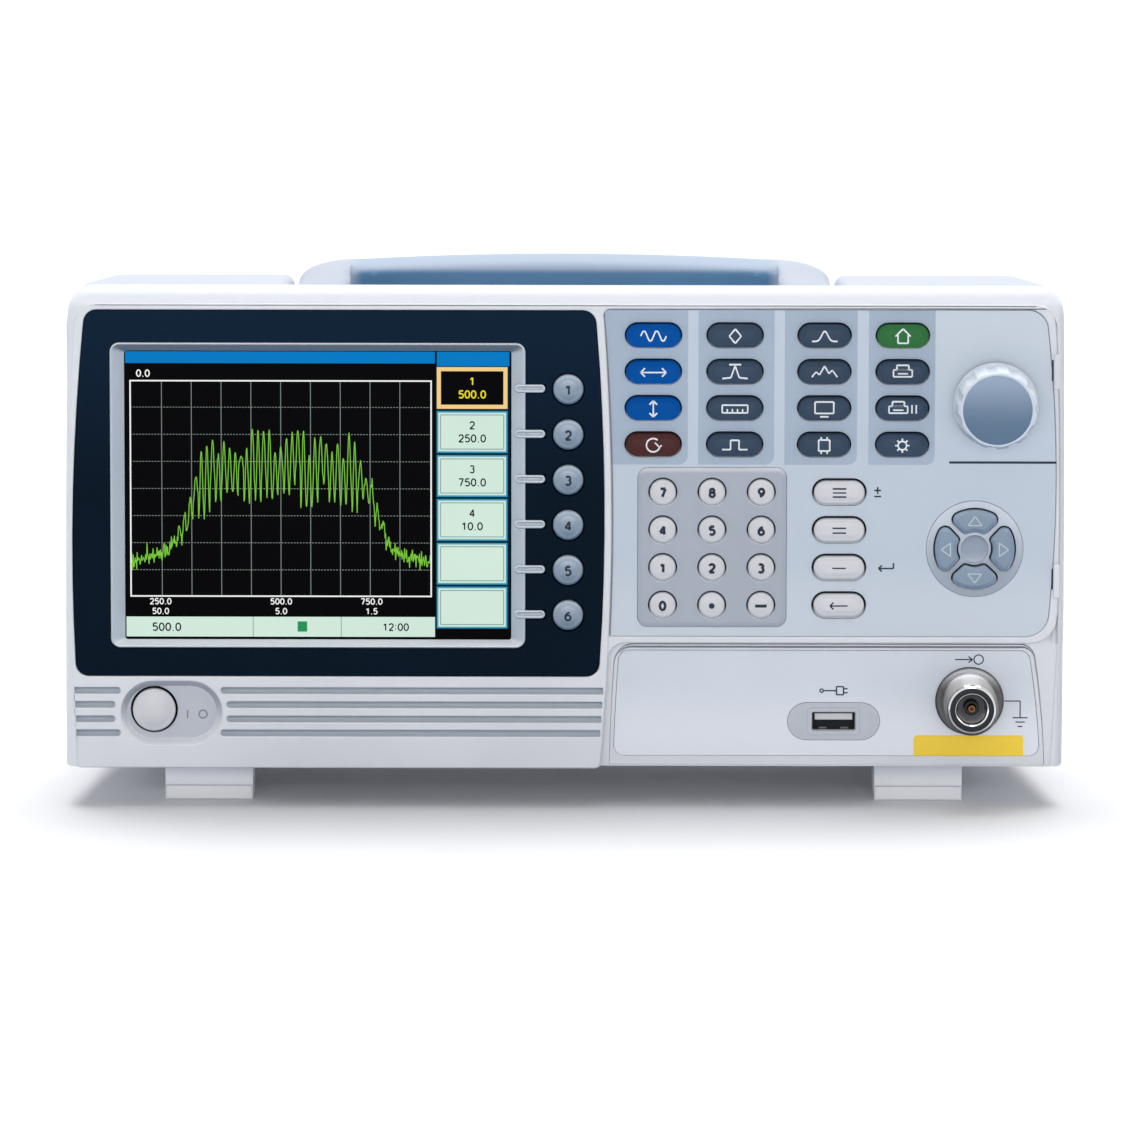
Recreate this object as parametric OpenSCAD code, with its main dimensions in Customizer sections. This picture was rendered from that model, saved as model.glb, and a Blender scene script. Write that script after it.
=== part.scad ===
// Bench spectrum analyzer: front bezel, rear cover, keys, knob, bail handle and tilt legs.
// X runs to the viewer's right, Y from front to rear, Z up from the table.
// Depths in this file count from the front face of the display section towards the rear.

/* [Case] */
// Width of the case across the bezel
case_w = 296; // [290:1:310]
// Depth of the case without knob and connector
case_d = 105; // [100:1:120]
// Height of the bezel's top edge above the table
case_top = 154; // [152:0.5:157]
// Height of the feet under the case
foot_h = 11.5; // [10:0.5:12]
// Depth of the front bezel
bezel_d = 13; // [12.5:0.5:14]
// Radius of the bezel's upper corners
corner_r = 7.7; // [5:0.1:9]
// Wall of bezel and rear cover
wall = 2.6; // [2:0.1:3]
// Height of the rear cover at the back, above the table
rear_top = 147; // [145:0.5:148]
// Half width of the rear cover at the back
rear_half_w = 137; // [136:0.5:144]
// How far knob and connector stand out of the front
nose_d = 13.5; // [13:0.5:15]

/* [Display] */
// Centre of the screen across the case
lcd_x = -73.3; // [-75:0.1:-72]
// Centre of the screen above the table
lcd_z = 92.7; // [91:0.1:94]
// Width of the visible screen
lcd_w = 114.2; // [110:0.1:116]
// Height of the visible screen
lcd_h = 85.4; // [82:0.1:87]

/* [Keys] */
// Play between a key and its hole
key_gap = 0.3; // [0.25:0.05:0.4]
// How far a key stands out of its panel
key_rise = 2; // [1.5:0.1:3]
// Diameter of a soft key
soft_key_d = 9; // [8:0.1:9.5]
// Diameter of a number key
num_key_d = 8.4; // [7.5:0.1:8.8]
// Height of a stadium key
bar_key_h = 7.6; // [7:0.1:8]
// Diameter of the power button
power_d = 12.8; // [12:0.1:13.2]
// Radius of the round field under the arrow keys
arrow_field_r = 14.2; // [13.5:0.1:14.5]

/* [Knob and connectors] */
// Largest diameter of the knob
knob_d = 24; // [22:0.5:25]
// Number of finger scallops round the knob
scallops = 11; // [8:1:14]
// Diameter of the connector's coupling thread
thread_d = 15.88; // [15.5:0.01:16]
// Diameter of the connector's flange
flange_d = 20; // [19:0.5:20.5]

/* [Handle and legs] */
// Width of the bail handle
handle_w = 160.8; // [158:0.1:162]
// Width of each handle arm
handle_arm = 16; // [14:0.5:18]
// Height of the handle's crown above the table
handle_top = 155.5; // [154:0.5:157]
// Length of a tilt leg from pivot to tip
leg_len = 28.4; // [24:0.2:30]
// Width of a front foot
foot_w = 26; // [24:0.5:28]

/* [Hidden] */
$fn = 48;
eps = 0.01;
fit = 0.15;
half_w = case_w / 2;
front_y = (nose_d - case_d) / 2;
cover_front = bezel_d + 0.2;
cover_half_w = half_w - 1;
cover_top = case_top - 1.6;
rear_r = 6;

// Depths of the three front levels, and of the faces set into them
io_level = 4;
key_level = 1;
frame_seat = 2.2;
frame_face = 0.4;
film_t = 0.5;
film_sink = 0.1;
film_seat = key_level + film_sink + film_t;
label_seat = io_level + film_sink + film_t;
left_back = 3.6;
right_back = 4.2;
io_back = 7;

// Outline sides, each as x at the bottom, the middle and the top, with its z span
section_side = [10.7, 13.9, 11, foot_h, case_top];
frame_z = [39.4, 147.6];
frame_left = [-144, -145.3, -142, frame_z[0], frame_z[1]];
frame_right = [10, 11.6, 8.8, frame_z[0], frame_z[1]];
film_z = [50.9, 147.5];
film_left = [13.6, 14.4, 11.6, film_z[0], film_z[1]];
film_right = [142.8, 145.4, 143, film_z[0], film_z[1]];
film_r = [1, 7, 3, 1];
plateau_z = 48.4;
label_z = [15, 46.4];
label_left = [14.8, 15.4, 16.4, label_z[0], label_z[1]];
label_right = [140.8, 139.6, 137.4, label_z[0], label_z[1]];

// Screen surround
surround = [-134.6, 47.2, -11.4, 137.7];
surround_r = 2.8;
lcd_box = [lcd_x - lcd_w / 2, lcd_z - lcd_h / 2, lcd_x + lcd_w / 2, lcd_z + lcd_h / 2];
lcd_body = [127, 100, 6];
tick = [-14.8, -5.6, 2.4];

// Key places: soft keys, function keys, number pad, unit keys, arrow keys
soft_x = 1.2;
soft_z = [for (i = [0:5]) 124.5 - 13.42 * i];
fn_x = [26.2, 50.2, 76.5, 99.5];
fn_w = [16.8, 16.8, 15.9, 15.9];
fn_z = [for (i = [0:3]) 140.5 - 10.77 * i];
num_x = [29.1, 43.6, 58.1];
num_z = [for (i = [0:3]) 94.1 - 11.21 * i];
num_field = [21.8, 54, 65.9, 100.8];
unit_x = 81.1;
unit_w = 15.6;
arrow_at = [121.1, 77.3];
arrow_r = [4.8, 12.2];
arrow_half_w = 6.9;
arrow_split = 2;
arrow_key_r = 8.4;
power_at = [-121.1, 28.8];
power_recess = [-130.5, 18.9, -101.3, 37.1];
power_recess_d = 2.6;
flange_lip = 0.8;
flange_t = 1;
stem_end = 9;
board_at = 16;
board_t = 1.6;
switch_top = 10.4;

// Grooves under the display, as heights of their middles and their inner ends
groove_z = [35, 30.8, 26.5, 22.3];
groove_h = 1.8;
groove_d = 1;
groove_left = [-131, -132.6, -132.6, -131];
groove_right = [-101.4, -99.6, -99.6, -101.4];
groove_end = [-half_w - 8, 24];

// Knob, input connector and socket places
knob_at = [126.9, 120.2];
spindle_r = 3;
rf_at = [120.1, 31.4];
usb_at = [79.9, 25.3];
usb_shell = [13.2, 5.8];
usb_field = [66.3, 19.7, 93.5, 30.8];

// Handle and its channel in the cover
channel_half_w = 82.2;
channel_d = 38;
channel_z = 136;
channel_edge_r = 3.5;
pivot_d = 48;
pivot_z = 143;
pivot_r = 6;
trunnion_r = 3;
grip_d = [74, 95];

// Feet and legs
foot_x = 105.4;
foot_d = [13.4, 34.4];
rear_foot_d = [82, 98];
leg_pivot = [19.6, 4.2];
leg_r = 3.2;
leg_w = 20;
leg_pin_r = 1.5;
leg_slot = [15.9, 7.8];
foot_crease = 5.6;
foot_r = 3;

// Boards, supply and screws
screw_x = 128;
screw_z = [20, 131];
post_r = 4;
screw_r = 1.5;
screw_d = [86, 90];
post_d = [10.1, 102];
gusset = [20, 7];
board_posts = [[68.8, 76], [98, 90], [98, 62], [113, 141]];
main_at = 30;
supply = [-122, 14.6, -42, 72];
supply_d = [52, 90];
inlet_at = [-100, 45];
inlet = [27, 19.8];
main_posts = [[110, 24], [110, 116], [-110, 116], [-25, 24]];

// Vent slots in the rear wall and the side walls
vent_w = 2.6;
vent_pitch = 7;
rear_vents = [6, 42, 86, 34];
side_vents = [40, 66, 44];

SOFT = [for (i = [1:6]) str("soft_key_", i)];
FN = [for (c = [1:4], r = [1:4]) str("function_key_", c, r)];
NUM = [for (r = [1:4], c = [1:3]) str("number_key_", r, c)];
UNIT = [for (i = [1:4]) str("unit_key_", i)];
ARROW = ["arrow_key_right", "arrow_key_up", "arrow_key_left", "arrow_key_down"];
LEGS = ["tilt_leg_left", "tilt_leg_right"];
FIXED = ["front_bezel", "rear_cover", "display_frame", "lcd_surround", "lcd_module", "keypad_panel",
         "io_panel", "rf_connector", "usb_port", "keypad_board", "main_board", "power_supply", "case_screws"];

white = [0.86, 0.87, 0.9];
pale_blue = [0.74, 0.8, 0.86];
slate = [0.24, 0.31, 0.4];
grey = [0.6, 0.64, 0.7];
board_green = [0.1, 0.35, 0.2];
blue = [0, 0.3, 0.65];
maroon = [0.3, 0.16, 0.16];
green = [0.2, 0.5, 0.2];

// Outline functions, in the front view's X and Z
function polar(r, a) = r * [cos(a), sin(a)];
function arc(c, r, a0, a1, n = 6) = [for (i = [0:n]) c + polar(r, a0 + (a1 - a0) * i / n)];
function round_box(b, r) = concat(
    arc([b[0] + r[0], b[1] + r[0]], r[0], 180, 270),
    arc([b[2] - r[1], b[1] + r[1]], r[1], 270, 360),
    arc([b[2] - r[2], b[3] - r[2]], r[2], 0, 90),
    arc([b[0] + r[3], b[3] - r[3]], r[3], 90, 180));
function grow(b, g) = [b[0] - g, b[1] - g, b[2] + g, b[3] + g];
function about(c, s) = [c[0] - s[0] / 2, c[1] - s[1] / 2, c[0] + s[0] / 2, c[1] + s[1] / 2];
function even(r) = [r, r, r, r];
function stadium(b) = round_box(b, even(min(b[2] - b[0], b[3] - b[1]) / 2 - 0.05));
function side(s, z) = let (t = (z - s[3]) / (s[4] - s[3]))
    s[0] * (1 - t) * (1 - 2 * t) + s[1] * 4 * t * (1 - t) + s[2] * t * (2 * t - 1);
function shifted(s, g) = [s[0] + g, s[1] + g, s[2] + g, s[3], s[4]];
function left_corner(s, z, r, a0) = [for (i = [0:5])
    let (a = a0 + 18 * i, h = z + r * sin(a)) [side(s, h) + r * (1 + cos(a)), h]];
function right_corner(s, z, r, a0) = [for (i = [0:5])
    let (a = a0 + 18 * i, h = z + r * sin(a)) [side(s, h) - r * (1 - cos(a)), h]];
function flank(s, z0, z1, i) = let (h = z0 + (z1 - z0) * i / 8) [side(s, h), h];
function bowed(z, s0, s1, r, g = 0) =
    let (l = shifted(s0, -g), k = shifted(s1, g), b = z[0] - g, t = z[1] + g) concat(
        left_corner(l, b + r[0], r[0], 180),
        right_corner(k, b + r[1], r[1], 270),
        [for (i = [1:7]) flank(k, b + r[1], t - r[2], i)],
        right_corner(k, t - r[2], r[2], 0),
        left_corner(l, t - r[3], r[3], 90),
        [for (i = [7:-1:1]) flank(l, b + r[0], t - r[3], i)]);
function tick_box(z, g) =
    [tick[0], z + 0.2 - tick[2] / 2 - g, tick[1] + max(g, 0), z + 0.2 + tick[2] / 2 + g];
function case_outline(g, r) = round_box([-half_w + g, foot_h + g, half_w - g, case_top - g], [2, 2, r, r]);

// Extrudes a front-view outline between two depths
module slab(d0, d1) {
    translate([0, front_y + d1, 0]) rotate([90, 0, 0]) linear_extrude(d1 - d0) children();
}

// A cylinder along the depth
module rod(at, r, d0, d1) {
    translate([at[0], front_y + d1, at[1]]) rotate([90, 0, 0]) cylinder(r = r, h = d1 - d0);
}

// Extrudes a side-view outline, given as depth and height, across the case
module across(x0, x1) {
    translate([x0, front_y, 0]) rotate([90, 0, 90]) linear_extrude(x1 - x0) children();
}

// A cylinder across the case, at a depth and a height
module axle(at, r, x0, x1) {
    translate([x0, front_y + at[0], at[1]]) rotate([0, 90, 0]) cylinder(r = r, h = x1 - x0);
}

// One arrow key as a fan seen from the front, pointing along an angle
module arrow_outline(turn, g = 0) {
    tip = arrow_split - g * sqrt(2);
    w = arrow_half_w + g;
    translate(arrow_at) rotate(turn) intersection() {
        difference() {
            circle(r = arrow_r[1] + g);
            circle(r = arrow_r[0] - g);
        }
        polygon([[tip, 0], [tip + w, -w], [14, -w], [14, w], [tip + w, w]]);
    }
}

// The openings that keys, knob and sockets need in the right half of the front
module right_holes(d0, d1) {
    for (c = [0:3], r = [0:3])
        slab(d0, d1) polygon(stadium(grow(about([fn_x[c], fn_z[r]], [fn_w[c], bar_key_h]), key_gap)));
    for (z = num_z)
        slab(d0, d1) polygon(stadium(grow(about([unit_x, z], [unit_w, bar_key_h]), key_gap)));
    for (x = num_x, z = num_z)
        rod([x, z], num_key_d / 2 + key_gap, d0, d1);
    for (i = [0:3])
        slab(d0, d1) arrow_outline(90 * i, key_gap);
    rod(knob_at, 5, d0, d1);
}

module soft_holes(d0, d1) {
    for (z = soft_z)
        rod([soft_x, z], soft_key_d / 2 + key_gap, d0, d1);
}

// Bezel: one moulding with a raised display section, a key plateau and a lower input section
module bezel_body() {
    intersection() {
        hull() {
            slab(0, 0.1) polygon(case_outline(2.6, corner_r - 2));
            slab(4.5, 4.6) polygon(case_outline(0.4, corner_r));
            slab(bezel_d - 0.1, bezel_d) polygon(case_outline(0, corner_r));
        }
        union() {
            slab(io_level, bezel_d) polygon(case_outline(0, corner_r));
            slab(0, io_level + eps)
                polygon(bowed([foot_h, case_top], shifted(section_side, -170), section_side, even(1)));
            slab(0, io_level + eps)
                polygon(round_box([-half_w, film_z[1] + fit, half_w, case_top], even(0.5)));
            slab(key_level, io_level + eps)
                polygon(round_box([9, plateau_z, half_w, case_top], [0.5, 8, 0.5, 0.5]));
        }
    }
}

module bezel_posts() {
    for (s = [-1, 1], z = screw_z) {
        rod([s * screw_x, z], post_r, post_d[0], post_d[1]);
        slab(post_d[0], bezel_d)
            polygon(round_box(about([s * (half_w - gusset[0] / 2 - 0.5), z], gusset), even(0.5)));
    }
    for (p = board_posts)
        rod(p, 2.5, right_back - eps, board_at - 0.1);
}

module front_bezel() {
    color(white) difference() {
        union() {
            difference() {
                bezel_body();
                slab(io_back, bezel_d + 1) polygon(case_outline(wall, corner_r - wall));
                slab(left_back, io_back + eps) polygon(round_box([-144, 16, 8, 150], even(2)));
                slab(right_back, io_back + eps) polygon(round_box([16, 51, 144, 150], even(2)));
                slab(-1, frame_seat) polygon(bowed(frame_z, frame_left, frame_right, even(3.5), fit));
                slab(-1, film_seat) polygon(bowed(film_z, film_left, film_right, film_r, fit));
                slab(-1, label_seat) polygon(bowed(label_z, label_left, label_right, even(3), fit));
            }
            slab(film_seat - 0.9, film_seat + eps) polygon(round_box(num_field, even(3)));
            rod(arrow_at, arrow_field_r, film_seat - film_t, film_seat + eps);
            slab(label_seat - 0.2, label_seat + eps) polygon(stadium(usb_field));
            bezel_posts();
        }
        slab(-1, left_back + 1) polygon(round_box(grow(surround, fit), even(surround_r)));
        for (z = soft_z)
            slab(-1, left_back + 1) polygon(round_box(tick_box(z, fit), even(0.4)));
        soft_holes(-1, left_back + 1);
        right_holes(-1, right_back + 1);
        slab(-1, power_recess_d) polygon(stadium(power_recess));
        rod(power_at, power_d / 2 + 0.4, -1, 5);
        for (i = [0:3], ends = [[groove_end[0], groove_left[i]], [groove_right[i], groove_end[1]]])
            slab(-1, groove_d) polygon(round_box(
                [ends[0], groove_z[i] - groove_h / 2, ends[1], groove_z[i] + groove_h / 2], even(0.6)));
        rod(rf_at, flange_d / 2 - 1.4, 0, io_back + 1);
        slab(0, io_back + 1) polygon(round_box(about(usb_at, usb_shell + [0.6, 0.6]), even(0.5)));
        for (s = [-1, 1], z = screw_z)
            rod([s * screw_x, z], screw_r + 0.1, screw_d[0], post_d[1] + 1);
    }
}

// Rear cover: a drafted shell with a channel for the handle, vents and feet
module cover_solid(g) {
    front = cover_front - (g > 0 ? 1 : 0);
    back = case_d - g;
    intersection() {
        slab(front, back) polygon(round_box(
            [-cover_half_w + g, foot_h + 0.3 + g, cover_half_w - g, cover_top - g], [2, 2, 10, 10]));
        across(-half_w, half_w) polygon([[front, foot_h], [back, foot_h], [back, rear_top - g],
            [cover_front, cover_top - g], [front, cover_top - g]]);
        translate([0, front_y, 0]) linear_extrude(case_top) polygon(concat(
            [[-cover_half_w + g, front], [cover_half_w - g, front]],
            arc([rear_half_w - rear_r, case_d - rear_r], rear_r - g, 0, 90),
            arc([rear_r - rear_half_w, case_d - rear_r], rear_r - g, 90, 180)));
    }
}

module channel(g) {
    across(-channel_half_w - g, channel_half_w + g) polygon(concat(
        [[case_d + 1, case_top + 10], [channel_d - g, case_top + 10]],
        arc([channel_d - g + 4, channel_z - g + 4], 4, 180, 270), [[case_d + 1, channel_z - g]]));
}

// What the channel's rounded upper edges take off the sloping top
module channel_edges() {
    slope = (rear_top - cover_top) / (case_d - cover_front);
    r = channel_edge_r;
    multmatrix([[1, 0, 0, 0], [0, 1, 0, 0], [0, slope, 1, -slope * (front_y + cover_front)]])
        for (s = [0, 1]) mirror([s, 0, 0]) slab(channel_d, case_d + 1) polygon(concat(
            [[channel_half_w - 0.5, cover_top + 5], [channel_half_w - 0.5, cover_top - r]],
            arc([channel_half_w + r, cover_top - r], r, 180, 90), [[channel_half_w + r, cover_top + 5]]));
}

module foot_block(x) {
    difference() {
        across(x - foot_w / 2, x + foot_w / 2) polygon(concat(
            [[foot_d[0], foot_h + 1], [foot_d[0], foot_crease], [foot_d[0] - 0.3, 0]],
            arc([foot_d[1] - foot_r, foot_r], foot_r, 270, 360), [[foot_d[1], foot_h + 1]]));
        across(x - leg_w / 2 - key_gap, x + leg_w / 2 + key_gap) polygon([[leg_slot[0], -1], leg_slot,
            [foot_d[1] + 1, leg_slot[1]], [foot_d[1] + 1, -1]]);
        axle(leg_pivot, leg_pin_r + 0.06, x - leg_w / 2 - 2.5, x + leg_w / 2 + 2.5);
    }
}

module rear_foot(x) {
    across(x - foot_w / 2, x + foot_w / 2) polygon(concat(
        arc([rear_foot_d[0] + foot_r, foot_r], foot_r, 180, 270),
        arc([rear_foot_d[1] - foot_r, foot_r], foot_r, 270, 360),
        [[rear_foot_d[1], foot_h + 1], [rear_foot_d[0], foot_h + 1]]));
}

module rear_cover() {
    color(white) difference() {
        union() {
            difference() {
                cover_solid(0);
                cover_solid(wall);
            }
            intersection() {
                cover_solid(0);
                channel(wall);
            }
            for (s = [-1, 1]) {
                foot_block(s * foot_x);
                rear_foot(s * foot_x);
                axle([pivot_d, pivot_z], pivot_r, s * (channel_half_w + 3) - 3, s * (channel_half_w + 3) + 3);
            }
            for (p = main_posts)
                rod(p, 3, main_at + board_t + 0.1, case_d - 1);
        }
        channel(0);
        channel_edges();
        axle([pivot_d, pivot_z], trunnion_r + 0.06, -channel_half_w - 5, channel_half_w + 5);
        slab(case_d - 6, case_d + 1) polygon(round_box(grow(about(inlet_at, inlet), 0.3), even(2)));
        for (s = [-1, 1], z = screw_z) {
            rod([s * screw_x, z], screw_r + 0.2, 101, case_d + 1);
            rod([s * screw_x, z], 3.2, case_d - 1.6, case_d + 1);
        }
        for (i = [0:13], z = [rear_vents[1], rear_vents[2]])
            slab(case_d - 6, case_d + 1)
                polygon(stadium(about([rear_vents[0] + vent_pitch * i, z], [vent_w, rear_vents[3]])));
        for (s = [-1, 1], i = [0:7])
            across(s * 143 - 10, s * 143 + 10)
                polygon(stadium(about([side_vents[0] + vent_pitch * i, side_vents[1]],
                    [vent_w, side_vents[2]])));
    }
}

// Dark frame round the screen
module display_frame() {
    color([0.06, 0.12, 0.19]) difference() {
        slab(frame_face, frame_seat - 0.05) polygon(bowed(frame_z, frame_left, frame_right, even(3.5)));
        slab(-1, frame_seat + 1) polygon(round_box(grow(surround, fit), even(surround_r)));
        for (z = soft_z)
            slab(-1, frame_seat + 1) polygon(round_box(tick_box(z, fit), even(0.4)));
        soft_holes(-1, frame_seat + 1);
    }
}

// Grey surround with sloped walls, and a tick bar towards each soft key
module lcd_surround() {
    color(grey) difference() {
        union() {
            slab(0.3, left_back) polygon(round_box(surround, even(surround_r)));
            for (z = soft_z)
                slab(0.1, frame_seat - 0.1) polygon(round_box(tick_box(z, -fit), even(0.4)));
        }
        hull() {
            slab(0, 0.3) polygon(round_box(grow(surround, -0.5), even(surround_r - 0.4)));
            slab(left_back, left_back + 0.1) polygon(round_box(lcd_box, even(0.6)));
        }
    }
}

module lcd_module() {
    color([0.15, 0.17, 0.2]) slab(left_back + 0.2, left_back + 0.2 + lcd_body[2])
        polygon(round_box(about([lcd_x, lcd_z], lcd_body), even(1)));
}

// Printed film over the key plateau, open over the number field and the arrow field
module keypad_panel() {
    color(pale_blue) difference() {
        slab(key_level + film_sink, film_seat - 0.03)
            polygon(bowed(film_z, film_left, film_right, film_r));
        slab(0, film_seat + 1) polygon(round_box(grow(num_field, fit), even(3)));
        rod(arrow_at, arrow_field_r + fit, 0, film_seat + 1);
        right_holes(0, film_seat + 1);
    }
}

// Printed film round the input connector and the socket
module io_panel() {
    color(pale_blue) difference() {
        slab(io_level + film_sink, label_seat - 0.03)
            polygon(bowed(label_z, label_left, label_right, even(3)));
        rod(rf_at, flange_d / 2 + fit, 0, label_seat + 1);
        slab(0, label_seat + 1) polygon(stadium(grow(usb_field, fit)));
    }
}

// Input connector: round flange, threaded barrel, inner sleeve and centre contact
module rf_connector() {
    barrel_r = thread_d / 2;
    color([0.8, 0.8, 0.78]) union() {
        difference() {
            union() {
                rod(rf_at, flange_d / 2, label_seat - 1.8, label_seat - 0.03);
                rod(rf_at, barrel_r, -nose_d + 0.6, label_seat);
                rod(rf_at, barrel_r - 1, -nose_d, label_seat);
                rod(rf_at, flange_d / 2 - 1.7, label_seat - 0.1, io_back);
                rod(rf_at, 6, io_back - eps, 24);
            }
            rod(rf_at, 4.9, -nose_d - 1, -nose_d + 11);
        }
        rod(rf_at, 1.6, -nose_d + 3, -nose_d + 12);
    }
}

// USB socket: folded metal shell with a contact tongue
module usb_port() {
    color([0.78, 0.79, 0.8]) union() {
        difference() {
            slab(io_level + 0.3, board_at - 0.1) polygon(round_box(about(usb_at, usb_shell), even(0.4)));
            slab(0, board_at - 2) polygon(round_box(about(usb_at, usb_shell - [0.7, 0.7]), even(0.3)));
        }
        slab(io_level + 2, board_at - 1.5) polygon(round_box(about(usb_at + [0, 1.1], [11, 1.8]), even(0.2)));
    }
}

// One switch on the key board
module switch_block(at, w) {
    slab(switch_top, board_at + eps) polygon(round_box(about(at, [w, w]), even(0.5)));
}

// Key board with a switch under every key and the knob's encoder
module keypad_board() {
    color(board_green) difference() {
        union() {
            slab(board_at, board_at + board_t) polygon(round_box([-7, 16, 141, 148], even(2)));
            for (z = soft_z)
                switch_block([soft_x, z], 6);
            for (x = fn_x, z = fn_z)
                switch_block([x, z], 6);
            for (x = concat(num_x, [unit_x]), z = num_z)
                switch_block([x, z], 6);
            for (i = [0:3])
                switch_block(arrow_at + polar(arrow_key_r, 90 * i), 4.5);
            slab(7.5, board_at + eps) polygon(round_box(about(knob_at, [12, 12]), even(0.5)));
            rod(knob_at, 4.6, 2, 8);
        }
        rod(knob_at, spindle_r + 0.06, 0, 13);
        rod(rf_at, 8, board_at - 1, board_at + 3);
        for (z = screw_z)
            rod([screw_x, z], post_r + 0.6, board_at - 1, board_at + 3);
    }
}

// Main board with a screened input section and the latching power switch
module main_board() {
    color(board_green) difference() {
        union() {
            slab(main_at, main_at + board_t) polygon(round_box([-126, 16, 126, 129], even(2)));
            slab(24.1, main_at + eps) polygon(round_box([96, 17, 122, 58], even(1.5)));
            slab(26, main_at + eps) polygon(round_box([30, 24, 84, 70], even(1.5)));
            slab(16, main_at + eps) polygon(round_box(about(power_at, [9, 9]), even(0.5)));
            for (x = [-60, -30, 0])
                slab(28.4, main_at + eps) polygon(round_box(about([x, 90], [18, 18]), even(0.5)));
        }
        for (s = [-1, 1], z = screw_z)
            rod([s * screw_x, z], post_r + 0.6, main_at - 1, main_at + 3);
    }
}

// Power supply box with its mains inlet at the rear
module power_supply() {
    color([0.7, 0.71, 0.72]) union() {
        slab(supply_d[0], supply_d[1]) polygon(round_box(supply, even(1.5)));
        difference() {
            slab(supply_d[1] - eps, case_d - 0.2) polygon(round_box(about(inlet_at, inlet), even(2)));
            slab(supply_d[1] + 1.5, case_d + 1)
                polygon(round_box(about(inlet_at, inlet - [3, 3]), [1, 1, 3.5, 3.5]));
        }
        for (x = [-7, 0, 7])
            slab(supply_d[1] + 1, case_d - 4.5)
                polygon(round_box(about(inlet_at + [x, x == 0 ? 2.5 : -2], [2.2, 4.4]), even(0.3)));
    }
}

module case_screws() {
    color([0.5, 0.5, 0.52]) for (s = [-1, 1], z = screw_z) {
        rod([s * screw_x, z], screw_r, screw_d[1], case_d - 1);
        rod([s * screw_x, z], 2.9, case_d - 1.5, case_d - 0.1);
    }
}

// Bail handle with moulded trunnions, folded back over the channel
module handle() {
    end_x = handle_w / 2;
    open_x = end_x - handle_arm;
    color([0.62, 0.7, 0.8]) union() {
        difference() {
            intersection() {
                across(-end_x, end_x) polygon(concat(
                    arc([pivot_d, pivot_z], pivot_r, 90, 270, 10), [[64, 138.5]],
                    arc([grip_d[1] - 4, 145.5], 4, 270, 360),
                    arc([grip_d[1] - 5, handle_top - 5], 5, 0, 90), [[grip_d[0] - 2, handle_top]]));
                slab(pivot_d - 10, grip_d[1] + 2) polygon(concat(
                    [[-end_x, pivot_z - 10], [end_x, pivot_z - 10], [end_x, 147]],
                    arc([end_x - 7, 144.5], 7, 20, 62, 3),
                    [[open_x + 2, handle_top - 1.8], [open_x - 6, handle_top - 1.6], [0, handle_top],
                     [-open_x + 6, handle_top - 1.6], [-open_x - 2, handle_top - 1.8]],
                    arc([-end_x + 7, 144.5], 7, 118, 160, 3), [[-end_x, 147]]));
            }
            translate([0, front_y, pivot_z - 12]) linear_extrude(40)
                polygon(round_box([-open_x, pivot_d - 10, open_x, grip_d[0]], [0.5, 0.5, 6, 6]));
        }
        for (s = [-1, 1])
            axle([pivot_d, pivot_z], trunnion_r, s * (end_x + 2) - 3, s * (end_x + 2) + 3);
    }
}

// Knob with its spindle
module knob() {
    r = knob_d / 2;
    color([0.55, 0.66, 0.76]) union() {
        difference() {
            union() {
                rod(knob_at, r, -10.5, key_level - 0.4);
                rod(knob_at, r - 0.8, -12.2, -10.4);
                rod(knob_at, r - 1.8, -nose_d, -12.1);
            }
            for (i = [0:scallops - 1])
                rod(knob_at + polar(r + 2.6, 360 * i / scallops), 3.6, -nose_d - 1, -1.2);
            rod(knob_at, r - 2.2, -1.5, 3);
        }
        rod(knob_at, spindle_r, -3, 12.6);
    }
}

module power_button() {
    color(white) union() {
        rod(power_at, power_d / 2, 0.6, 4);
        rod(power_at, power_d / 2 - 0.7, -0.4, 0.7);
        rod(power_at, power_d / 2 - 2, -0.9, 0);
        rod(power_at, 3, 3.9, 12.8);
    }
}

// A tilt leg folded into its foot, hinged at the front end
module tilt_leg(x) {
    tip = leg_pivot[0] + leg_len;
    color(white) union() {
        difference() {
            union() {
                axle(leg_pivot, leg_r, x - leg_w / 2, x + leg_w / 2);
                across(x - leg_w / 2, x + leg_w / 2) polygon([[leg_pivot[0], 1], [tip - 5, 1],
                    [tip, 3.2], [tip, 5.4], [leg_pivot[0], 5.4]]);
            }
            across(x - leg_w / 2 + 3, x + leg_w / 2 - 3) polygon([[leg_pivot[0] + 6, 3], [tip - 4, 3],
                [tip - 4, 9], [leg_pivot[0] + 6, 9]]);
        }
        for (s = [-1, 1])
            axle(leg_pivot, leg_pin_r, x + s * (leg_w / 2 + 1) - 1.3, x + s * (leg_w / 2 + 1) + 1.3);
    }
}

// Round key: cap with a stepped edge, retaining flange and stem
module round_key(at, d, face, back) {
    rod(at, d / 2, face - key_rise + 0.6, back + 0.5);
    rod(at, d / 2 - 0.5, face - key_rise, face - key_rise + 0.7);
    rod(at, d / 2 + flange_lip, back + 0.4, back + 0.4 + flange_t);
    rod(at, 2, back + 1, stem_end);
}

// Stadium key with the same build
module bar_key(at, w, face, back) {
    cap = about(at, [w, bar_key_h]);
    slab(face - key_rise + 0.6, back + 0.5) polygon(stadium(cap));
    slab(face - key_rise, face - key_rise + 0.7) polygon(stadium(grow(cap, -0.5)));
    slab(back + 0.4, back + 0.4 + flange_t) polygon(stadium(grow(cap, flange_lip)));
    rod(at, 2, back + 1, stem_end);
}

module soft_key(i) {
    color([0.7, 0.72, 0.74]) union() round_key([soft_x, soft_z[i]], soft_key_d, frame_face, left_back);
}

module function_key(c, r) {
    tone = c == 0 ? (r == 3 ? maroon : blue) : c == 3 && r == 0 ? green : slate;
    color(tone) union() bar_key([fn_x[c], fn_z[r]], fn_w[c], key_level, right_back);
}

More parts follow.
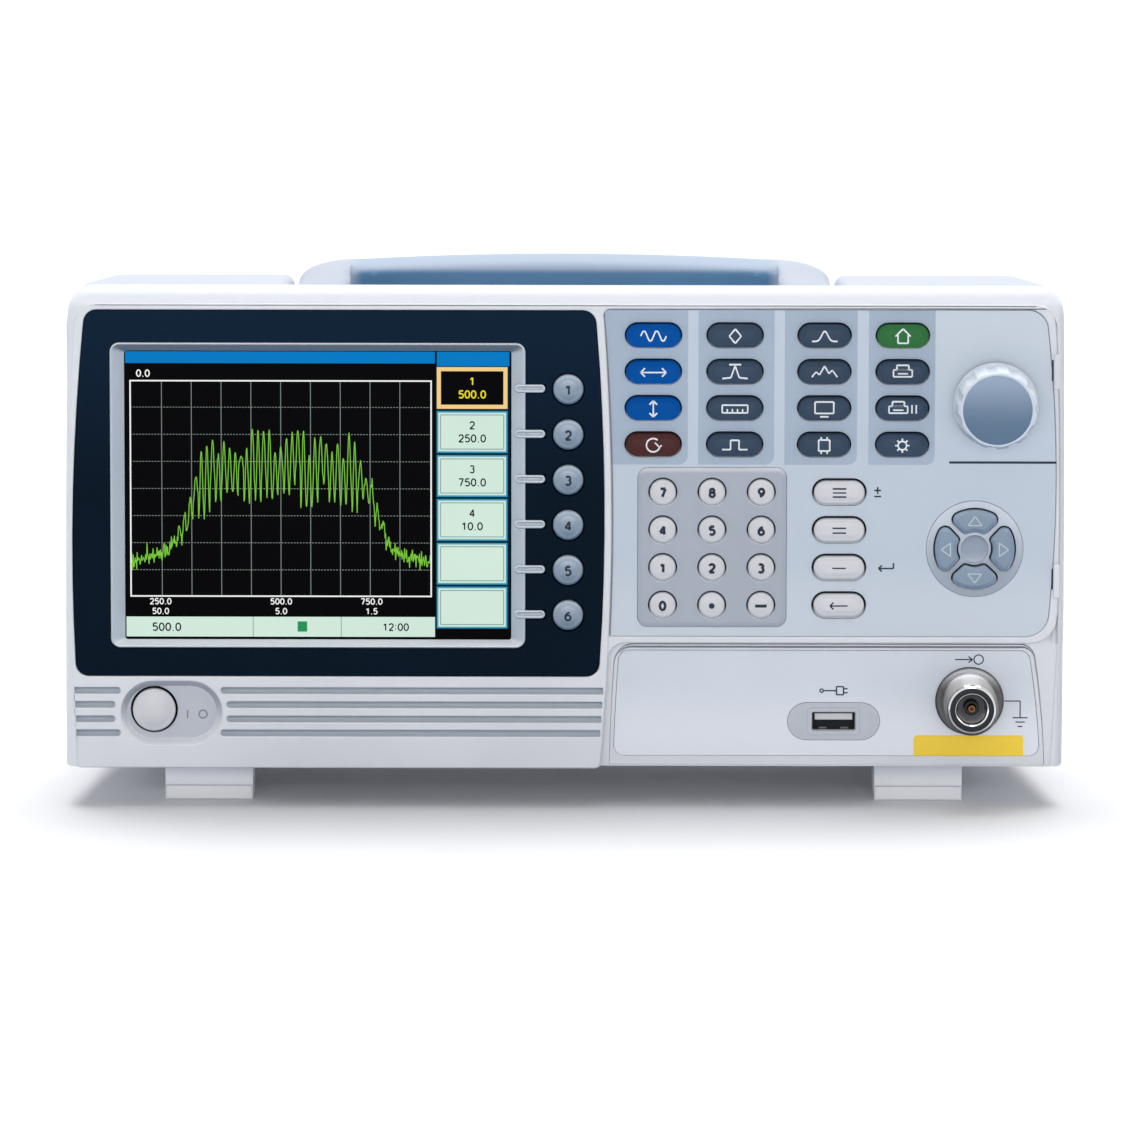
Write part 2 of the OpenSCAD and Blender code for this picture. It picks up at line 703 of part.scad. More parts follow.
module number_key(r, c) {
    color(white) union() round_key([num_x[c], num_z[r]], num_key_d, key_level - 0.4, right_back);
}

module unit_key(i) {
    color(white) union() bar_key([unit_x, num_z[i]], unit_w, key_level, right_back);
}

module arrow_key(i) {
    color(slate) union() {
        slab(key_level - key_rise, right_back + 0.5) arrow_outline(90 * i);
        slab(right_back + 0.4, right_back + 0.4 + flange_t) arrow_outline(90 * i, 0.6);
        rod(arrow_at + polar(arrow_key_r, 90 * i), 2, right_back + 1, stem_end);
    }
}

front_bezel();
rear_cover();
display_frame();
lcd_surround();
lcd_module();
keypad_panel();
io_panel();
rf_connector();
usb_port();
keypad_board();
main_board();
power_supply();
case_screws();
handle();
knob();
power_button();
for (i = [0:1]) tilt_leg((2 * i - 1) * foot_x);
for (i = [0:5]) soft_key(i);
for (c = [0:3], r = [0:3]) function_key(c, r);
for (r = [0:3], c = [0:2]) number_key(r, c);
for (i = [0:3]) unit_key(i);
for (i = [0:3]) arrow_key(i);
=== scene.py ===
import math
import random

import bmesh
import bpy
from mathutils import Matrix, Vector


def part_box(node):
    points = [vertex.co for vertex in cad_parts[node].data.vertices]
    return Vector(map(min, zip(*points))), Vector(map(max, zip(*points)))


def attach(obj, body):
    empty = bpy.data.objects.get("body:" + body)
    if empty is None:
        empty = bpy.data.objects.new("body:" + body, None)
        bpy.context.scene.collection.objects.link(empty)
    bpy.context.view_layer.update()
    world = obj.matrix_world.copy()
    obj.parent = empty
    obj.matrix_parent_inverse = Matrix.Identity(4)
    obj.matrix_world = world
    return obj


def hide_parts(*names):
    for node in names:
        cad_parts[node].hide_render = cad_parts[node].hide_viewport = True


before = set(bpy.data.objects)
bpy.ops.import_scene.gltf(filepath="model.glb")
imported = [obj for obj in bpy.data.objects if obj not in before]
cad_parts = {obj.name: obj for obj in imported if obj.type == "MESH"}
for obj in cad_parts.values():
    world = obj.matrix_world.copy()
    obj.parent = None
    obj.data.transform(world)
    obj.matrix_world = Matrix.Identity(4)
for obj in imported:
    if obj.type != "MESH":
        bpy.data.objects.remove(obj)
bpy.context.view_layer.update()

# Lengths are in millimetres. A place on the front is (x, z), x to the right and z up from the table,
# and a depth d counts from the front face of the display section towards the rear.
MM = 0.001
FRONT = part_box("front_bezel")[0][1] / MM

# Bezel, where a bowed side is given by its x at the bottom, the middle and the top
CASE_LEFT = (-147.6, -147.1, -146.3)
CASE_RIGHT = (148.0, 147.75, 147.2)
CASE_Z = (11.5, 154.0)
BEZEL_D = 13.0
LIP_D = 4.6
LIP_R = 7.7
KEY_LEVEL = 1.0
IO_LEVEL = 4.0
RIDGE_LEFT = (-144.1, -146.1, -143.8)
RIDGE_RIGHT = (144.3, 146.6, 144.6)
RIDGE_Z = (12.0, 149.4)
RIDGE_R = 6.5
SECTION_X = (10.7, 13.9, 11.0)
PLATEAU_Z = 48.9
PLATEAU_R = 8.0
IO_CORNER_R = 5.5
FILM_Z = (51.15, 148.0)
FILM_LEFT = (13.6, 14.2, 11.6)
FILM_RIGHT = (142.35, 144.85, 141.5)
FILM_R = (1, 7, 6, 1)
LABEL_Z = (15.0, 46.4)
LABEL_LEFT = (14.8, 15.4, 16.4)
LABEL_RIGHT = (140.8, 139.6, 137.4)
LABEL_R = (3, 3, 3, 3)
GROOVE_Z = (34.7, 30.5, 26.2, 22.0)
GROOVE_H = 1.8
GROOVE_D = 2.0
GROOVE_ENDS = ((-131.0, -101.4), (-132.6, -99.6), (-132.6, -99.6), (-131.0, -101.4))
POWER_RECESS = (-130.5, 18.9, -101.3, 37.1)
POWER_FLOOR = 2.6
TAB_Z = {"upper": 129.8, "lower": 67.8}

# Screen and prints
SURROUND_RIGHT = -11.4
TICK_X = (-14.6, -5.6)
LCD_MARGIN = (7.55, 7.65, 6.35, 7.5)
COLUMN_X = ((None, 36.4), (39.4, 61.8), (64.8, 86.2), (89.5, 109.1))
COLUMN_FOOT_Z = 102.2
KNOB_RULE = (113.4, 102.6, 145.0, 103.3)
PATCH = (103.65, 14.95, 136.15, 21.1)
PLUS_X = 92.4
ENTER_X = 95.0
SOCKET_MARK_Z = 34.4

# Keys
FLANGE = 1.15
KEY_GAP = 0.45
FIELD_EDGE = 1.3
FIELD_RISE = 0.6
FAN_R = (5.3, 11.75)
FAN_SPLIT = 1.6
FAN_HALF_W = 6.45
FAN_CORNER_R = 2.0
FAN_HEEL_R = 1.15
# Depth of the near-black sheet of painted shade behind the front
SHADE_SHEET_D = 5.8

# Handle, folded back in its channel
HANDLE_X = 80.4
HANDLE_OPEN_X = 64.4
HANDLE_CORNER_R = 9.0
HANDLE_UNDER_Z = 141.5
PIVOT = (48.0, 143.0)
PIVOT_R = 6.0
GRIP_D = (74.0, 95.0)

# Front feet
FOOT_X = 105.4
FOOT_W = 26.0
FOOT_D = 13.1
FOOT_CREASE_Z = 4.4

# Camera, with its eye as x, distance from the front face and height, and its turns in degrees
LENS = 282.7
EYE = (0.9, -2600, 440)
LOOK_DOWN = 8.06
ROLL = 0.1


def extent(node):
    """A CAD node's box: left, bottom, right, top, front depth, back depth."""
    (x0, y0, z0), (x1, y1, z1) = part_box(node)
    return [v / MM for v in (x0, z0, x1, z1)] + [y0 / MM - FRONT, y1 / MM - FRONT]


def box_of(node):
    return extent(node)[:4]


def face_of(node):
    return extent(node)[4]


def middle(node):
    x0, z0, x1, z1 = box_of(node)
    return (x0 + x1) / 2, (z0 + z1) / 2


def radius_of(node):
    box = box_of(node)
    return (box[2] - box[0]) / 2


# Outlines, anticlockwise as seen from the front


def arc(cx, cz, r, a0, a1, n=8):
    angles = [math.radians(a0 + (a1 - a0) * i / n) for i in range(n + 1)]
    return [(cx + r * math.cos(a), cz + r * math.sin(a)) for a in angles]


def circle(cx, cz, r, n=64):
    return arc(cx, cz, r, 0, 360 - 360 / n, n - 1)


def round_box(box, r, n=8):
    x0, z0, x1, z1 = box
    a, b, c, d = r if isinstance(r, (tuple, list)) else (r,) * 4
    return (arc(x0 + a, z0 + a, a, 180, 270, n) + arc(x1 - b, z0 + b, b, 270, 360, n)
            + arc(x1 - c, z1 - c, c, 0, 90, n) + arc(x0 + d, z1 - d, d, 90, 180, n))


def grow(box, g):
    return box[0] - g, box[1] - g, box[2] + g, box[3] + g


def about(x, z, w, h):
    return x - w / 2, z - h / 2, x + w / 2, z + h / 2


def stadium(box, n=16):
    x0, z0, x1, z1 = box
    r, z = (z1 - z0) / 2, (z0 + z1) / 2
    return arc(x1 - r, z, r, -90, 90, n) + arc(x0 + r, z, r, 90, 270, n)


def bow(side, z, span=CASE_Z):
    """x of a bowed side, given as its x at the bottom, middle and top of a span of heights."""
    t = (z - span[0]) / (span[1] - span[0])
    return side[0] * (1 - t) * (1 - 2 * t) + side[1] * 4 * t * (1 - t) + side[2] * t * (2 * t - 1)


def flank(side, z0, z1, n=12, span=CASE_Z):
    return [(bow(side, mix(z0, z1, i / n), span), mix(z0, z1, i / n)) for i in range(n + 1)]


def bowed_box(span, left, right, r):
    """An outline with bowed sides, its corner radii from bottom left round to top left."""
    (z0, z1), (a, b, c, e) = span, r
    return (arc(bow(left, z0 + a, span) + a, z0 + a, a, 180, 270)
            + arc(bow(right, z0 + b, span) - b, z0 + b, b, 270, 360)
            + flank(right, z0 + b, z1 - c, 12, span)[1:-1]
            + arc(bow(right, z1 - c, span) - c, z1 - c, c, 0, 90)
            + arc(bow(left, z1 - e, span) + e, z1 - e, e, 90, 180)
            + flank(left, z1 - e, z0 + a, 12, span)[1:-1])


def film_edge():
    return bowed_box(FILM_Z, FILM_LEFT, FILM_RIGHT, FILM_R)


def label_edge():
    return bowed_box(LABEL_Z, LABEL_LEFT, LABEL_RIGHT, LABEL_R)


def stretched(ring, moves, lean=0.0):
    """A ring whose left, bottom, right and top edges are moved a little, the left one leaning as well."""
    x0, z0 = min(x for x, z in ring), min(z for x, z in ring)
    x1, z1 = max(x for x, z in ring), max(z for x, z in ring)
    out = []
    for x, z in ring:
        left = (moves[0] + lean * (z - z0) / (z1 - z0)) * max(0, 1 - (x - x0) / 20)
        right = moves[2] * max(0, 1 - (x1 - x) / 20)
        low, high = moves[1] * max(0, 1 - (z - z0) / 10), moves[3] * max(0, 1 - (z1 - z) / 10)
        out.append((x + left + right, z + low + high))
    return out


def mix(a, b, t):
    return a + (b - a) * t


def inset(ring, g):
    """The ring moved inwards by g along its corner bisectors."""
    out = []
    for i, p in enumerate(ring):
        p, a, b = Vector(p), Vector(ring[i - 1]), Vector(ring[(i + 1) % len(ring)])
        e0, e1 = (p - a).normalized(), (b - p).normalized()
        n = Vector((-e0.y - e1.y, e0.x + e1.x)).normalized()
        out.append(tuple(p + n * (g / max(0.35, n.dot(Vector((-e1.y, e1.x)))))))
    return out


def area(ring):
    return sum(p[0] * q[1] - q[0] * p[1] for p, q in zip(ring, ring[1:] + ring[:1])) / 2


def centre(ring):
    xs, zs = [p[0] for p in ring], [p[1] for p in ring]
    return (min(xs) + max(xs)) / 2, (min(zs) + max(zs)) / 2


def loops(node):
    """The outlines of a CAD node's foremost face: its edge first, then its holes."""
    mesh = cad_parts[node].data
    y_min = min(v.co.y for v in mesh.vertices)
    edges = set()
    for face in mesh.polygons:
        if all(mesh.vertices[i].co.y - y_min < 1e-6 for i in face.vertices):
            spots = [mesh.vertices[i].co for i in face.vertices]
            spots = [(round(c.x / MM, 3), round(c.z / MM, 3)) for c in spots]
            for a, b in zip(spots, spots[1:] + spots[:1]):
                if (b, a) in edges:
                    edges.remove((b, a))
                else:
                    edges.add((a, b))
    after = dict(edges)
    rings = []
    while after:
        start = min(after)
        ring = [start]
        while after[ring[-1]] != start:
            ring.append(after.pop(ring[-1]))
        after.pop(ring[-1])
        rings.append(ring)
    rings.sort(key=lambda r: -abs(area(r)))
    if area(rings[0]) < 0:
        rings = [r[::-1] for r in rings]
    return rings


def hole_at(rings, at):
    """The hole of a face whose middle is nearest to a place, as an anticlockwise ring."""
    return min(rings[1:], key=lambda r: math.dist(centre(r), at))[::-1]


# Materials: every finish varies over its surface by procedural textures


def linear(rgb):
    return [c / 255 / 12.92 if c < 10.3 else ((c / 255 + 0.055) / 1.055) ** 2.4 for c in rgb] + [1]


def feed(tree, node, values):
    """Sets inputs of a shader node to values or links them to the outputs of other nodes."""
    for name, value in values.items():
        if isinstance(value, bpy.types.NodeSocket):
            tree.links.new(value, node.inputs[name])
        else:
            node.inputs[name].default_value = value


def add(tree, kind, values=None):
    node = tree.nodes.new("ShaderNode" + kind)
    feed(tree, node, values or {})
    return node


def ramp(tree, value, low, high, start=0.0, stop=1.0):
    """A colour that goes from low to high while a value runs from start to stop."""
    node = add(tree, "ValToRGB", {"Fac": value})
    for end, colour, place in zip(node.color_ramp.elements, (low, high), (start, stop)):
        end.color = colour
        end.position = place
    return node.outputs["Color"]


def shader(name, slot):
    mat = bpy.data.materials.new(name)
    mat.use_nodes = True
    mat["slot"] = slot
    return mat, mat.node_tree, mat.node_tree.nodes["Principled BSDF"]


def finish(name, slot, rgb, rough, mottle=0.04, grain=0.02, size=0.6, metal=0.0, sheen=0.3):
    """A plastic or metal of one colour with faint mottling and a fine grain of a given size."""
    mat, tree, bsdf = shader(name, slot)
    place = add(tree, "TexCoord").outputs["Object"]
    cloud = add(tree, "TexNoise", {"Vector": place, "Scale": 18, "Detail": 3}).outputs["Fac"]
    tone = ramp(tree, cloud, linear([c * (1 - mottle) for c in rgb]), linear(rgb), 0.3, 0.7)
    fine = add(tree, "TexNoise", {"Vector": place, "Scale": 1 / (size * MM)}).outputs["Fac"]
    bump = add(tree, "Bump", {"Strength": 0.5, "Distance": grain * MM, "Height": fine})
    feed(tree, bsdf, {"Base Color": tone, "Normal": bump.outputs["Normal"], "Roughness": rough,
                      "Metallic": metal, "Specular IOR Level": sheen})
    return mat


def towards(mat, rgb, value, start, stop):
    """Turns a finish towards a second colour while a value runs from start to stop."""
    tree = mat.node_tree
    colour = tree.nodes["Principled BSDF"].inputs["Base Color"]
    span = add(tree, "MapRange", {"Value": value, "From Min": start, "From Max": stop})
    span.interpolation_type = "SMOOTHSTEP"
    blend = add(tree, "Mix", {"Factor": span.outputs["Result"]})
    blend.data_type = "RGBA"
    first, second = [i for i in blend.inputs if i.type == "RGBA"]
    second.default_value = linear(rgb)
    tree.links.new(colour.links[0].from_socket, first)
    tree.links.new(next(o for o in blend.outputs if o.type == "RGBA"), colour)


def graded(mat, rgb, axis, start, stop):
    """Turns a finish towards a second colour along an axis, between two places in millimetres; every use in
    this script paints light or shade.
    """
    tree = mat.node_tree
    place = next(n for n in tree.nodes if n.type == "TEX_COORD").outputs["Object"]
    split = add(tree, "SeparateXYZ", {"Vector": place})
    towards(mat, rgb, split.outputs[axis], start * MM, stop * MM)


def toplit(mat, up, down):
    """Paints light and shade onto a finish: parts that face up turn to one colour as a painted highlight,
    parts that face down to another as painted shade.
    """
    tree = mat.node_tree
    split = add(tree, "SeparateXYZ", {"Vector": add(tree, "NewGeometry").outputs["Normal"]})
    towards(mat, up, split.outputs["Z"], 0.0, 0.7)
    towards(mat, down, split.outputs["Z"], 0.0, -0.7)


def glow(name, rgb):
    """A lit screen colour with a faint unevenness."""
    mat, tree, bsdf = shader(name, "screen")
    place = add(tree, "TexCoord").outputs["Object"]
    cloud = add(tree, "TexNoise", {"Vector": place, "Scale": 25}).outputs["Fac"]
    tone = ramp(tree, cloud, linear([c * 0.95 for c in rgb]), linear(rgb))
    feed(tree, bsdf, {"Emission Color": tone, "Emission Strength": 1, "Roughness": 0.4,
                      "Base Color": (0.0005, 0.0005, 0.0005, 1), "Specular IOR Level": 0.02})
    return mat


# Lip plastic with painted light: darker towards the right edge as painted shade, lighter along its top as a
# painted highlight, and painted top light on the faces that face up and down.
LIP = finish("lip_plastic", "case_plastic", (224, 227, 233), 0.5, sheen=0.1)
graded(LIP, (200, 203, 211), "X", 144.5, 147.0)
graded(LIP, (250, 251, 254), "Z", 148.8, 150.6)
toplit(LIP, (222, 225, 231), (212, 215, 222))
# Face plastic with painted top light: a painted highlight where it faces up, painted shade where it faces
# down.
FACE = finish("face_plastic", "case_plastic", (221, 224, 230), 0.5)
toplit(FACE, (240, 242, 247), (182, 187, 196))
# Rear cover and feet: lighter towards the bottom of the feet as painted light, and darker where it faces up
# as painted shade.
FOOT = finish("foot_plastic", "case_plastic", (222, 226, 234), 0.5, sheen=0.05)
graded(FOOT, (250, 251, 254), "Z", 10.0, 4.5)
toplit(FOOT, (200, 205, 215), (222, 226, 234))
# Panel film: darker towards the left and lower down, a little lighter again near its bottom; this is painted
# shade, not print.
PANEL = finish("panel_film", "panel_film", (201, 211, 222), 0.42, 0.03, 0.006, 0.3)
graded(PANEL, (190, 201, 215), "X", 112.0, 100.0)
graded(PANEL, (188, 199, 212), "Z", 130.0, 105.0)
graded(PANEL, (197, 206, 217), "Z", 76.0, 58.0)
# Input film: lighter towards the bottom as painted light.
LABEL = finish("label_film", "panel_film", (214, 221, 231), 0.42, 0.03, 0.006, 0.3)
graded(LABEL, (230, 234, 242), "Z", 40.0, 18.0)
COLUMN = finish("column_tint", "panel_film", (164, 180, 198), 0.42, 0.03, 0.006, 0.3)
# Key field plastic with painted top light: painted highlight facing up, painted shade facing down.
FIELD = finish("key_field", "case_plastic", (169, 177, 189), 0.5, 0.03)
toplit(FIELD, (226, 229, 236), (154, 162, 175))
# Arrow pad: lighter towards the top as painted light.
PAD = finish("arrow_pad", "case_plastic", (156, 166, 180), 0.5, 0.03)
graded(PAD, (202, 210, 221), "Z", 66, 90)
# Arrow hub: its dish lighter where it faces up and darker where it faces down, painted light and shade.
HUB = finish("arrow_hub", "case_plastic", (152, 164, 180), 0.5, 0.03)
toplit(HUB, (208, 215, 225), (116, 128, 144))
SOCKET_FIELD = finish("socket_field", "case_plastic", (192, 196, 206), 0.5, 0.03)
# Dark frame: lighter towards the top as painted light.
NAVY = finish("dark_frame", "dark_frame", (4, 21, 37), 0.4, 0.12, 0.006, 0.4, sheen=0.03)
graded(NAVY, (11, 32, 52), "Z", 90, 148)
# Screen surround with painted top light: a painted highlight on faces that face up, painted shade on those
# that face down.
TRIM = finish("grey_trim", "grey_trim", (190, 201, 213), 0.42, 0.04)
toplit(TRIM, (238, 242, 248), (94, 106, 118))
# Near-black of the LCD module and the socket's back; on the sheet behind the front it is painted shade that
# shows through the gaps.
GAP = finish("gap_dark", "dark_frame", (16, 20, 26), 0.8, 0.2)
# Key wells: near-black as painted shade in the gaps round keys, with a painted highlight where the well faces
# up.
WELL = finish("key_well", "dark_frame", (36, 42, 54), 0.7, 0.1)
toplit(WELL, (246, 249, 252), (12, 16, 22))
# White keys with painted top light: painted highlight facing up, painted shade facing down.
WHITE_KEY = finish("white_key", "white_key", (210, 211, 216), 0.36, 0.03)
toplit(WHITE_KEY, (228, 229, 233), (184, 187, 194))
# Soft keys with painted top light: painted highlight facing up, painted shade facing down.
SOFT_KEY = finish("soft_key", "soft_key", (136, 154, 172), 0.3, 0.04)
toplit(SOFT_KEY, (196, 208, 222), (84, 106, 128))
BLUE_KEY = finish("blue_key", "blue_key", (0, 80, 160), 0.36, 0.08, sheen=0.04)
MAROON_KEY = finish("maroon_key", "maroon_key", (74, 36, 36), 0.36, 0.08, sheen=0.12)
GREEN_KEY = finish("green_key", "green_key", (46, 112, 58), 0.36, 0.08, sheen=0.12)
SLATE_KEY = finish("slate_key", "slate_key", (50, 68, 90), 0.36, 0.08, sheen=0.15)
# Arrow keys with painted top light: painted highlight facing up, painted shade facing down.
ARROW_KEY = finish("arrow_key", "arrow_key", (132, 151, 172), 0.34, 0.06)
toplit(ARROW_KEY, (164, 181, 200), (100, 120, 144))
# Knob body with painted top light: painted highlight facing up, painted shade facing down.
KNOB_BODY = finish("knob_body", "knob_plastic", (205, 215, 227), 0.36, 0.03)
toplit(KNOB_BODY, (224, 231, 240), (130, 147, 168))
# Knob face: lighter towards the top as painted light, darker towards the bottom as painted shade.
KNOB_FACE = finish("knob_face", "knob_plastic", (86, 114, 142), 0.4, 0.05)
graded(KNOB_FACE, (146, 164, 186), "Z", middle("knob")[1] - 6, middle("knob")[1] + 12)
HANDLE = finish("handle_plastic", "handle_plastic", (190, 197, 210), 0.45, 0.03, sheen=0.08)
# Grip: a darker blue below its crown as painted shade, fading to the handle's colour over the crown and
# towards the arms.
GRIP_SHADE = finish("grip_rubber", "handle_plastic", (92, 138, 174), 0.6, 0.06, 0.04)
graded(GRIP_SHADE, (168, 181, 201), "Z", 150.5, 152.4)
for end in (-HANDLE_OPEN_X, HANDLE_OPEN_X):
    graded(GRIP_SHADE, (176, 188, 206), "X", end * 0.94, end * 1.01)
# Nickel darkened as painted shade, lighter towards the top as a painted reflection.
NICKEL = finish("nickel", "nickel", (86, 85, 86), 0.24, 0.08, 0.004, 0.8, metal=1.0)
graded(NICKEL, (172, 173, 176), "Z", middle("rf_connector")[1] + 3, middle("rf_connector")[1] + 10)
# The same nickel made lighter for the front chamfer and ring: a painted highlight.
BRIGHT = finish("bright_nickel", "nickel", (226, 225, 224), 0.12, 0.04, 0.002, 0.8, metal=1.0)
# Nickel of a middle tone for the thread, with painted top light.
THREAD = finish("thread_nickel", "nickel", (118, 118, 120), 0.18, 0.1, 0.004, 0.8, metal=1.0)
toplit(THREAD, (212, 212, 214), (62, 63, 66))
# Bore wall: bright where it faces up and dark where it faces down, painted light and shade.
BORE = finish("connector_bore", "nickel", (112, 116, 124), 0.4, 0.06, 0.004, 0.8)
toplit(BORE, (250, 248, 244), (26, 28, 32))
# Dark front face of the nose: a painted dark reflection.
NOSE = finish("connector_nose", "nickel", (44, 47, 54), 0.3, 0.1, 0.004, 0.8, sheen=0.1)
STEEL = finish("steel_shell", "steel_shell", (96, 97, 100), 0.3, 0.06, 0.004, 0.5, metal=1.0)
# Gold of the centre pin, darkened as painted shade deep in the bore.
GOLD = finish("gold_contact", "nickel", (128, 80, 44), 0.28, 0.08, 0.004, 0.5, metal=1.0)
# Near-black for the connector's sleeve round the pin and the pin's hole: painted shade.
HOLE_SHADE = finish("socket_tongue", "steel_shell", (28, 29, 32), 0.5, 0.1)
INK = finish("dark_ink", "panel_film", (24, 40, 62), 0.5, 0.1, 0.004)
PALE_INK = finish("pale_ink", "slate_key", (226, 232, 238), 0.5, 0.04, 0.004)
YELLOW = finish("yellow_patch", "panel_film", (255, 218, 74), 0.45, 0.05, 0.006, sheen=0.15)
SCREW = finish("screw_steel", "screw_steel", (120, 121, 124), 0.35, 0.1, 0.006, 0.4, metal=1.0)
BOARD = finish("circuit_board", "circuit_board", (30, 92, 56), 0.5, 0.12, 0.02)
SUPPLY = finish("supply_metal", "supply_metal", (176, 178, 180), 0.4, 0.08, 0.01, metal=1.0)
# Grey for the printed power marks and the seam at the film's left edge; on the input gutter's floor it is
# painted shade.
GUTTER = finish("gutter", "case_plastic", (138, 141, 148), 0.7, 0.06)
# Groove troughs: darker than the face plastic as painted shade, with painted top light.
GROOVE = finish("groove", "case_plastic", (164, 175, 188), 0.6, 0.04)
toplit(GROOVE, (214, 220, 227), (122, 134, 148))
# Power recess wall: darker towards the top as painted shade.
RECESS = finish("recess_wall", "case_plastic", (236, 238, 243), 0.5)
graded(RECESS, (150, 157, 168), "Z", POWER_RECESS[1] + 2, POWER_RECESS[3] - 3)
MARK = finish("arrow_mark", "arrow_key", (186, 198, 210), 0.4, 0.04)

LIT_BLACK = glow("lit_black", (1, 1, 3))
LIT_BLUE = glow("lit_blue", (0, 124, 200))
LIT_WHITE = glow("lit_white", (250, 252, 250))
LIT_GRID = glow("lit_grid", (132, 146, 140))
LIT_GREEN = glow("lit_green", (126, 206, 62))
LIT_MINT = glow("lit_mint", (214, 238, 224))
LIT_EDGE = glow("lit_edge", (64, 164, 196))
LIT_LINE = glow("lit_line", (130, 160, 156))
LIT_DEEP = glow("lit_deep", (4, 44, 68))
LIT_LAMP = glow("lit_lamp", (40, 150, 88))
LIT_AMBER = glow("lit_amber", (250, 212, 138))
LIT_YELLOW = glow("lit_yellow", (244, 228, 40))


# Mesh pieces, where OPEN leaves both ends of a skin without a cap
OPEN = (False, False)


def settle(name, mesh, mat, body, sharp):
    """Makes the piece of a mesh given in millimetres and lets it move with a body."""
    mesh.materials.clear()
    mesh.materials.append(mat)
    mesh.shade_smooth()
    mesh.set_sharp_from_angle(angle=math.radians(sharp))
    obj = bpy.data.objects.new(name, mesh)
    bpy.context.scene.collection.objects.link(obj)
    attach(obj, body)
    return obj


def solid(name, verts, faces, mat, body="case", sharp=38):
    """A piece of points (x, z, d) and faces; closed pieces get outward normals."""
    mesh = bpy.data.meshes.new(name)
    mesh.from_pydata([(x * MM, (FRONT + d) * MM, z * MM) for x, z, d in verts], [], faces)
    bm = bmesh.new()
    bm.from_mesh(mesh)
    bmesh.ops.remove_doubles(bm, verts=bm.verts, dist=0.0005 * MM)
    bmesh.ops.recalc_face_normals(bm, faces=bm.faces)
    bm.to_mesh(mesh)
    bm.free()
    return settle(name, mesh, mat, body, sharp)


def loft(name, rings, mat, body="case", caps=(True, True), loop=False, sharp=38):
    """A skin over rings of points (x, z, d), all with the same number of points."""
    n = len(rings[0])
    verts = [p for ring in rings for p in ring]
    count = len(rings) if loop else len(rings) - 1
    faces = []
    for k in range(count):
        a, b = k * n, (k + 1) % len(rings) * n
        faces += [(a + i, a + (i + 1) % n, b + (i + 1) % n, b + i) for i in range(n)]
    if caps[0] and not loop:
        faces.append(tuple(range(n))[::-1])
    if caps[1] and not loop:
        faces.append(tuple(range(len(verts) - n, len(verts))))
    return solid(name, verts, faces, mat, body, sharp)


def at_depth(ring, d):
    return [(x, z, d) for x, z in ring]


def turned(name, at, profile, mat, body="case", n=64, radius=None, caps=(True, True), sharp=38):
    """A turned piece about a front-to-back axis, from (radius, depth) pairs back to front."""
    radius = radius or (lambda r, d, a: r)
    angles = [2 * math.pi * i / n for i in range(n)]
    rings = []
    for r, d in profile:
        pairs = [(radius(r, d, a), a) for a in angles]
        rings.append([(at[0] + q * math.cos(a), at[1] + q * math.sin(a), d) for q, a in pairs])
    return loft(name, rings, mat, body, caps, sharp=sharp)


def from_curve(name, curve, d, mat, body, flatten=1.0):
    """The mesh of a curve drawn in front view, its own depth flattened and moved to d."""
    obj = bpy.data.objects.new(name, curve)
    bpy.context.scene.collection.objects.link(obj)
    graph = bpy.context.evaluated_depsgraph_get()
    mesh = bpy.data.meshes.new_from_object(obj.evaluated_get(graph), depsgraph=graph)
    bpy.data.objects.remove(obj)
    bpy.data.curves.remove(curve)
    mesh.name = name
    mesh.transform(Matrix(((MM, 0, 0, 0), (0, 0, -MM * flatten, (FRONT + d) * MM), (0, MM, 0, 0),
                           (0, 0, 0, 1))))
    return settle(name, mesh, mat, body, 38)


def plate(name, rings, front, back, edge, mat, body="case"):
    """A flat plate between two depths: its edge ring, then its holes, with rounded arrises."""
    curve = bpy.data.curves.new(name, "CURVE")
    curve.dimensions = "2D"
    curve.fill_mode = "BOTH"
    curve.extrude = (back - front) / 2 - edge
    curve.bevel_depth = edge
    curve.bevel_resolution = 2
    curve.offset = -edge
    for i, ring in enumerate(rings):
        if (area(ring) > 0) == (i > 0):
            ring = ring[::-1]
        spline = curve.splines.new("POLY")
        spline.points.add(len(ring) - 1)
        for point, (x, z) in zip(spline.points, ring):
            point.co = (x, z, 0, 1)
        spline.use_cyclic_u = True
    return from_curve(name, curve, (front + back) / 2, mat, body)


def runs(line):
    """A line split at its sharp corners, so that its strokes keep their width there."""
    parts, run = [], [line[0]]
    for a, b, c in zip(line, line[1:], line[2:]):
        run.append(b)
        if (Vector(b) - Vector(a)).angle(Vector(c) - Vector(b)) > math.radians(40):
            parts.append(run)
            run = [b]
    return parts + [run + [line[-1]]]


def strokes(name, lines, width, d, mat, body="case", flatten=0.3):
    """Thin raised lines along point lists; a closed line repeats its first point."""
    curve = bpy.data.curves.new(name, "CURVE")
    curve.dimensions = "3D"
    curve.bevel_depth = width / 2
    curve.bevel_resolution = 1
    for line in (run for line in lines for run in runs(line)):
        closed = math.dist(line[0], line[-1]) < 1e-6
        line = line[:-1] if closed else line
        spline = curve.splines.new("POLY")
        spline.points.add(len(line) - 1)
        for point, (x, z) in zip(spline.points, line):
            point.co = (x, z, 0, 1)
        spline.use_cyclic_u = closed
    curve.use_fill_caps = True
    return from_curve(name, curve, d, mat, body, flatten)


def ring_line(cx, cz, r, a0=0, a1=360):
    line = arc(cx, cz, r, a0, a1, 16)
    return line[:-1] + [line[0]] if a1 - a0 == 360 else line


def box_line(x0, z0, x1, z1):
    return [(x0, z0), (x1, z0), (x1, z1), (x0, z1), (x0, z0)]


def placed(at, lines, scale=1.0):
    """Lines drawn about (0, 0), moved to a place."""
    return [[(at[0] + scale * x, at[1] + scale * z) for x, z in line] for line in lines]


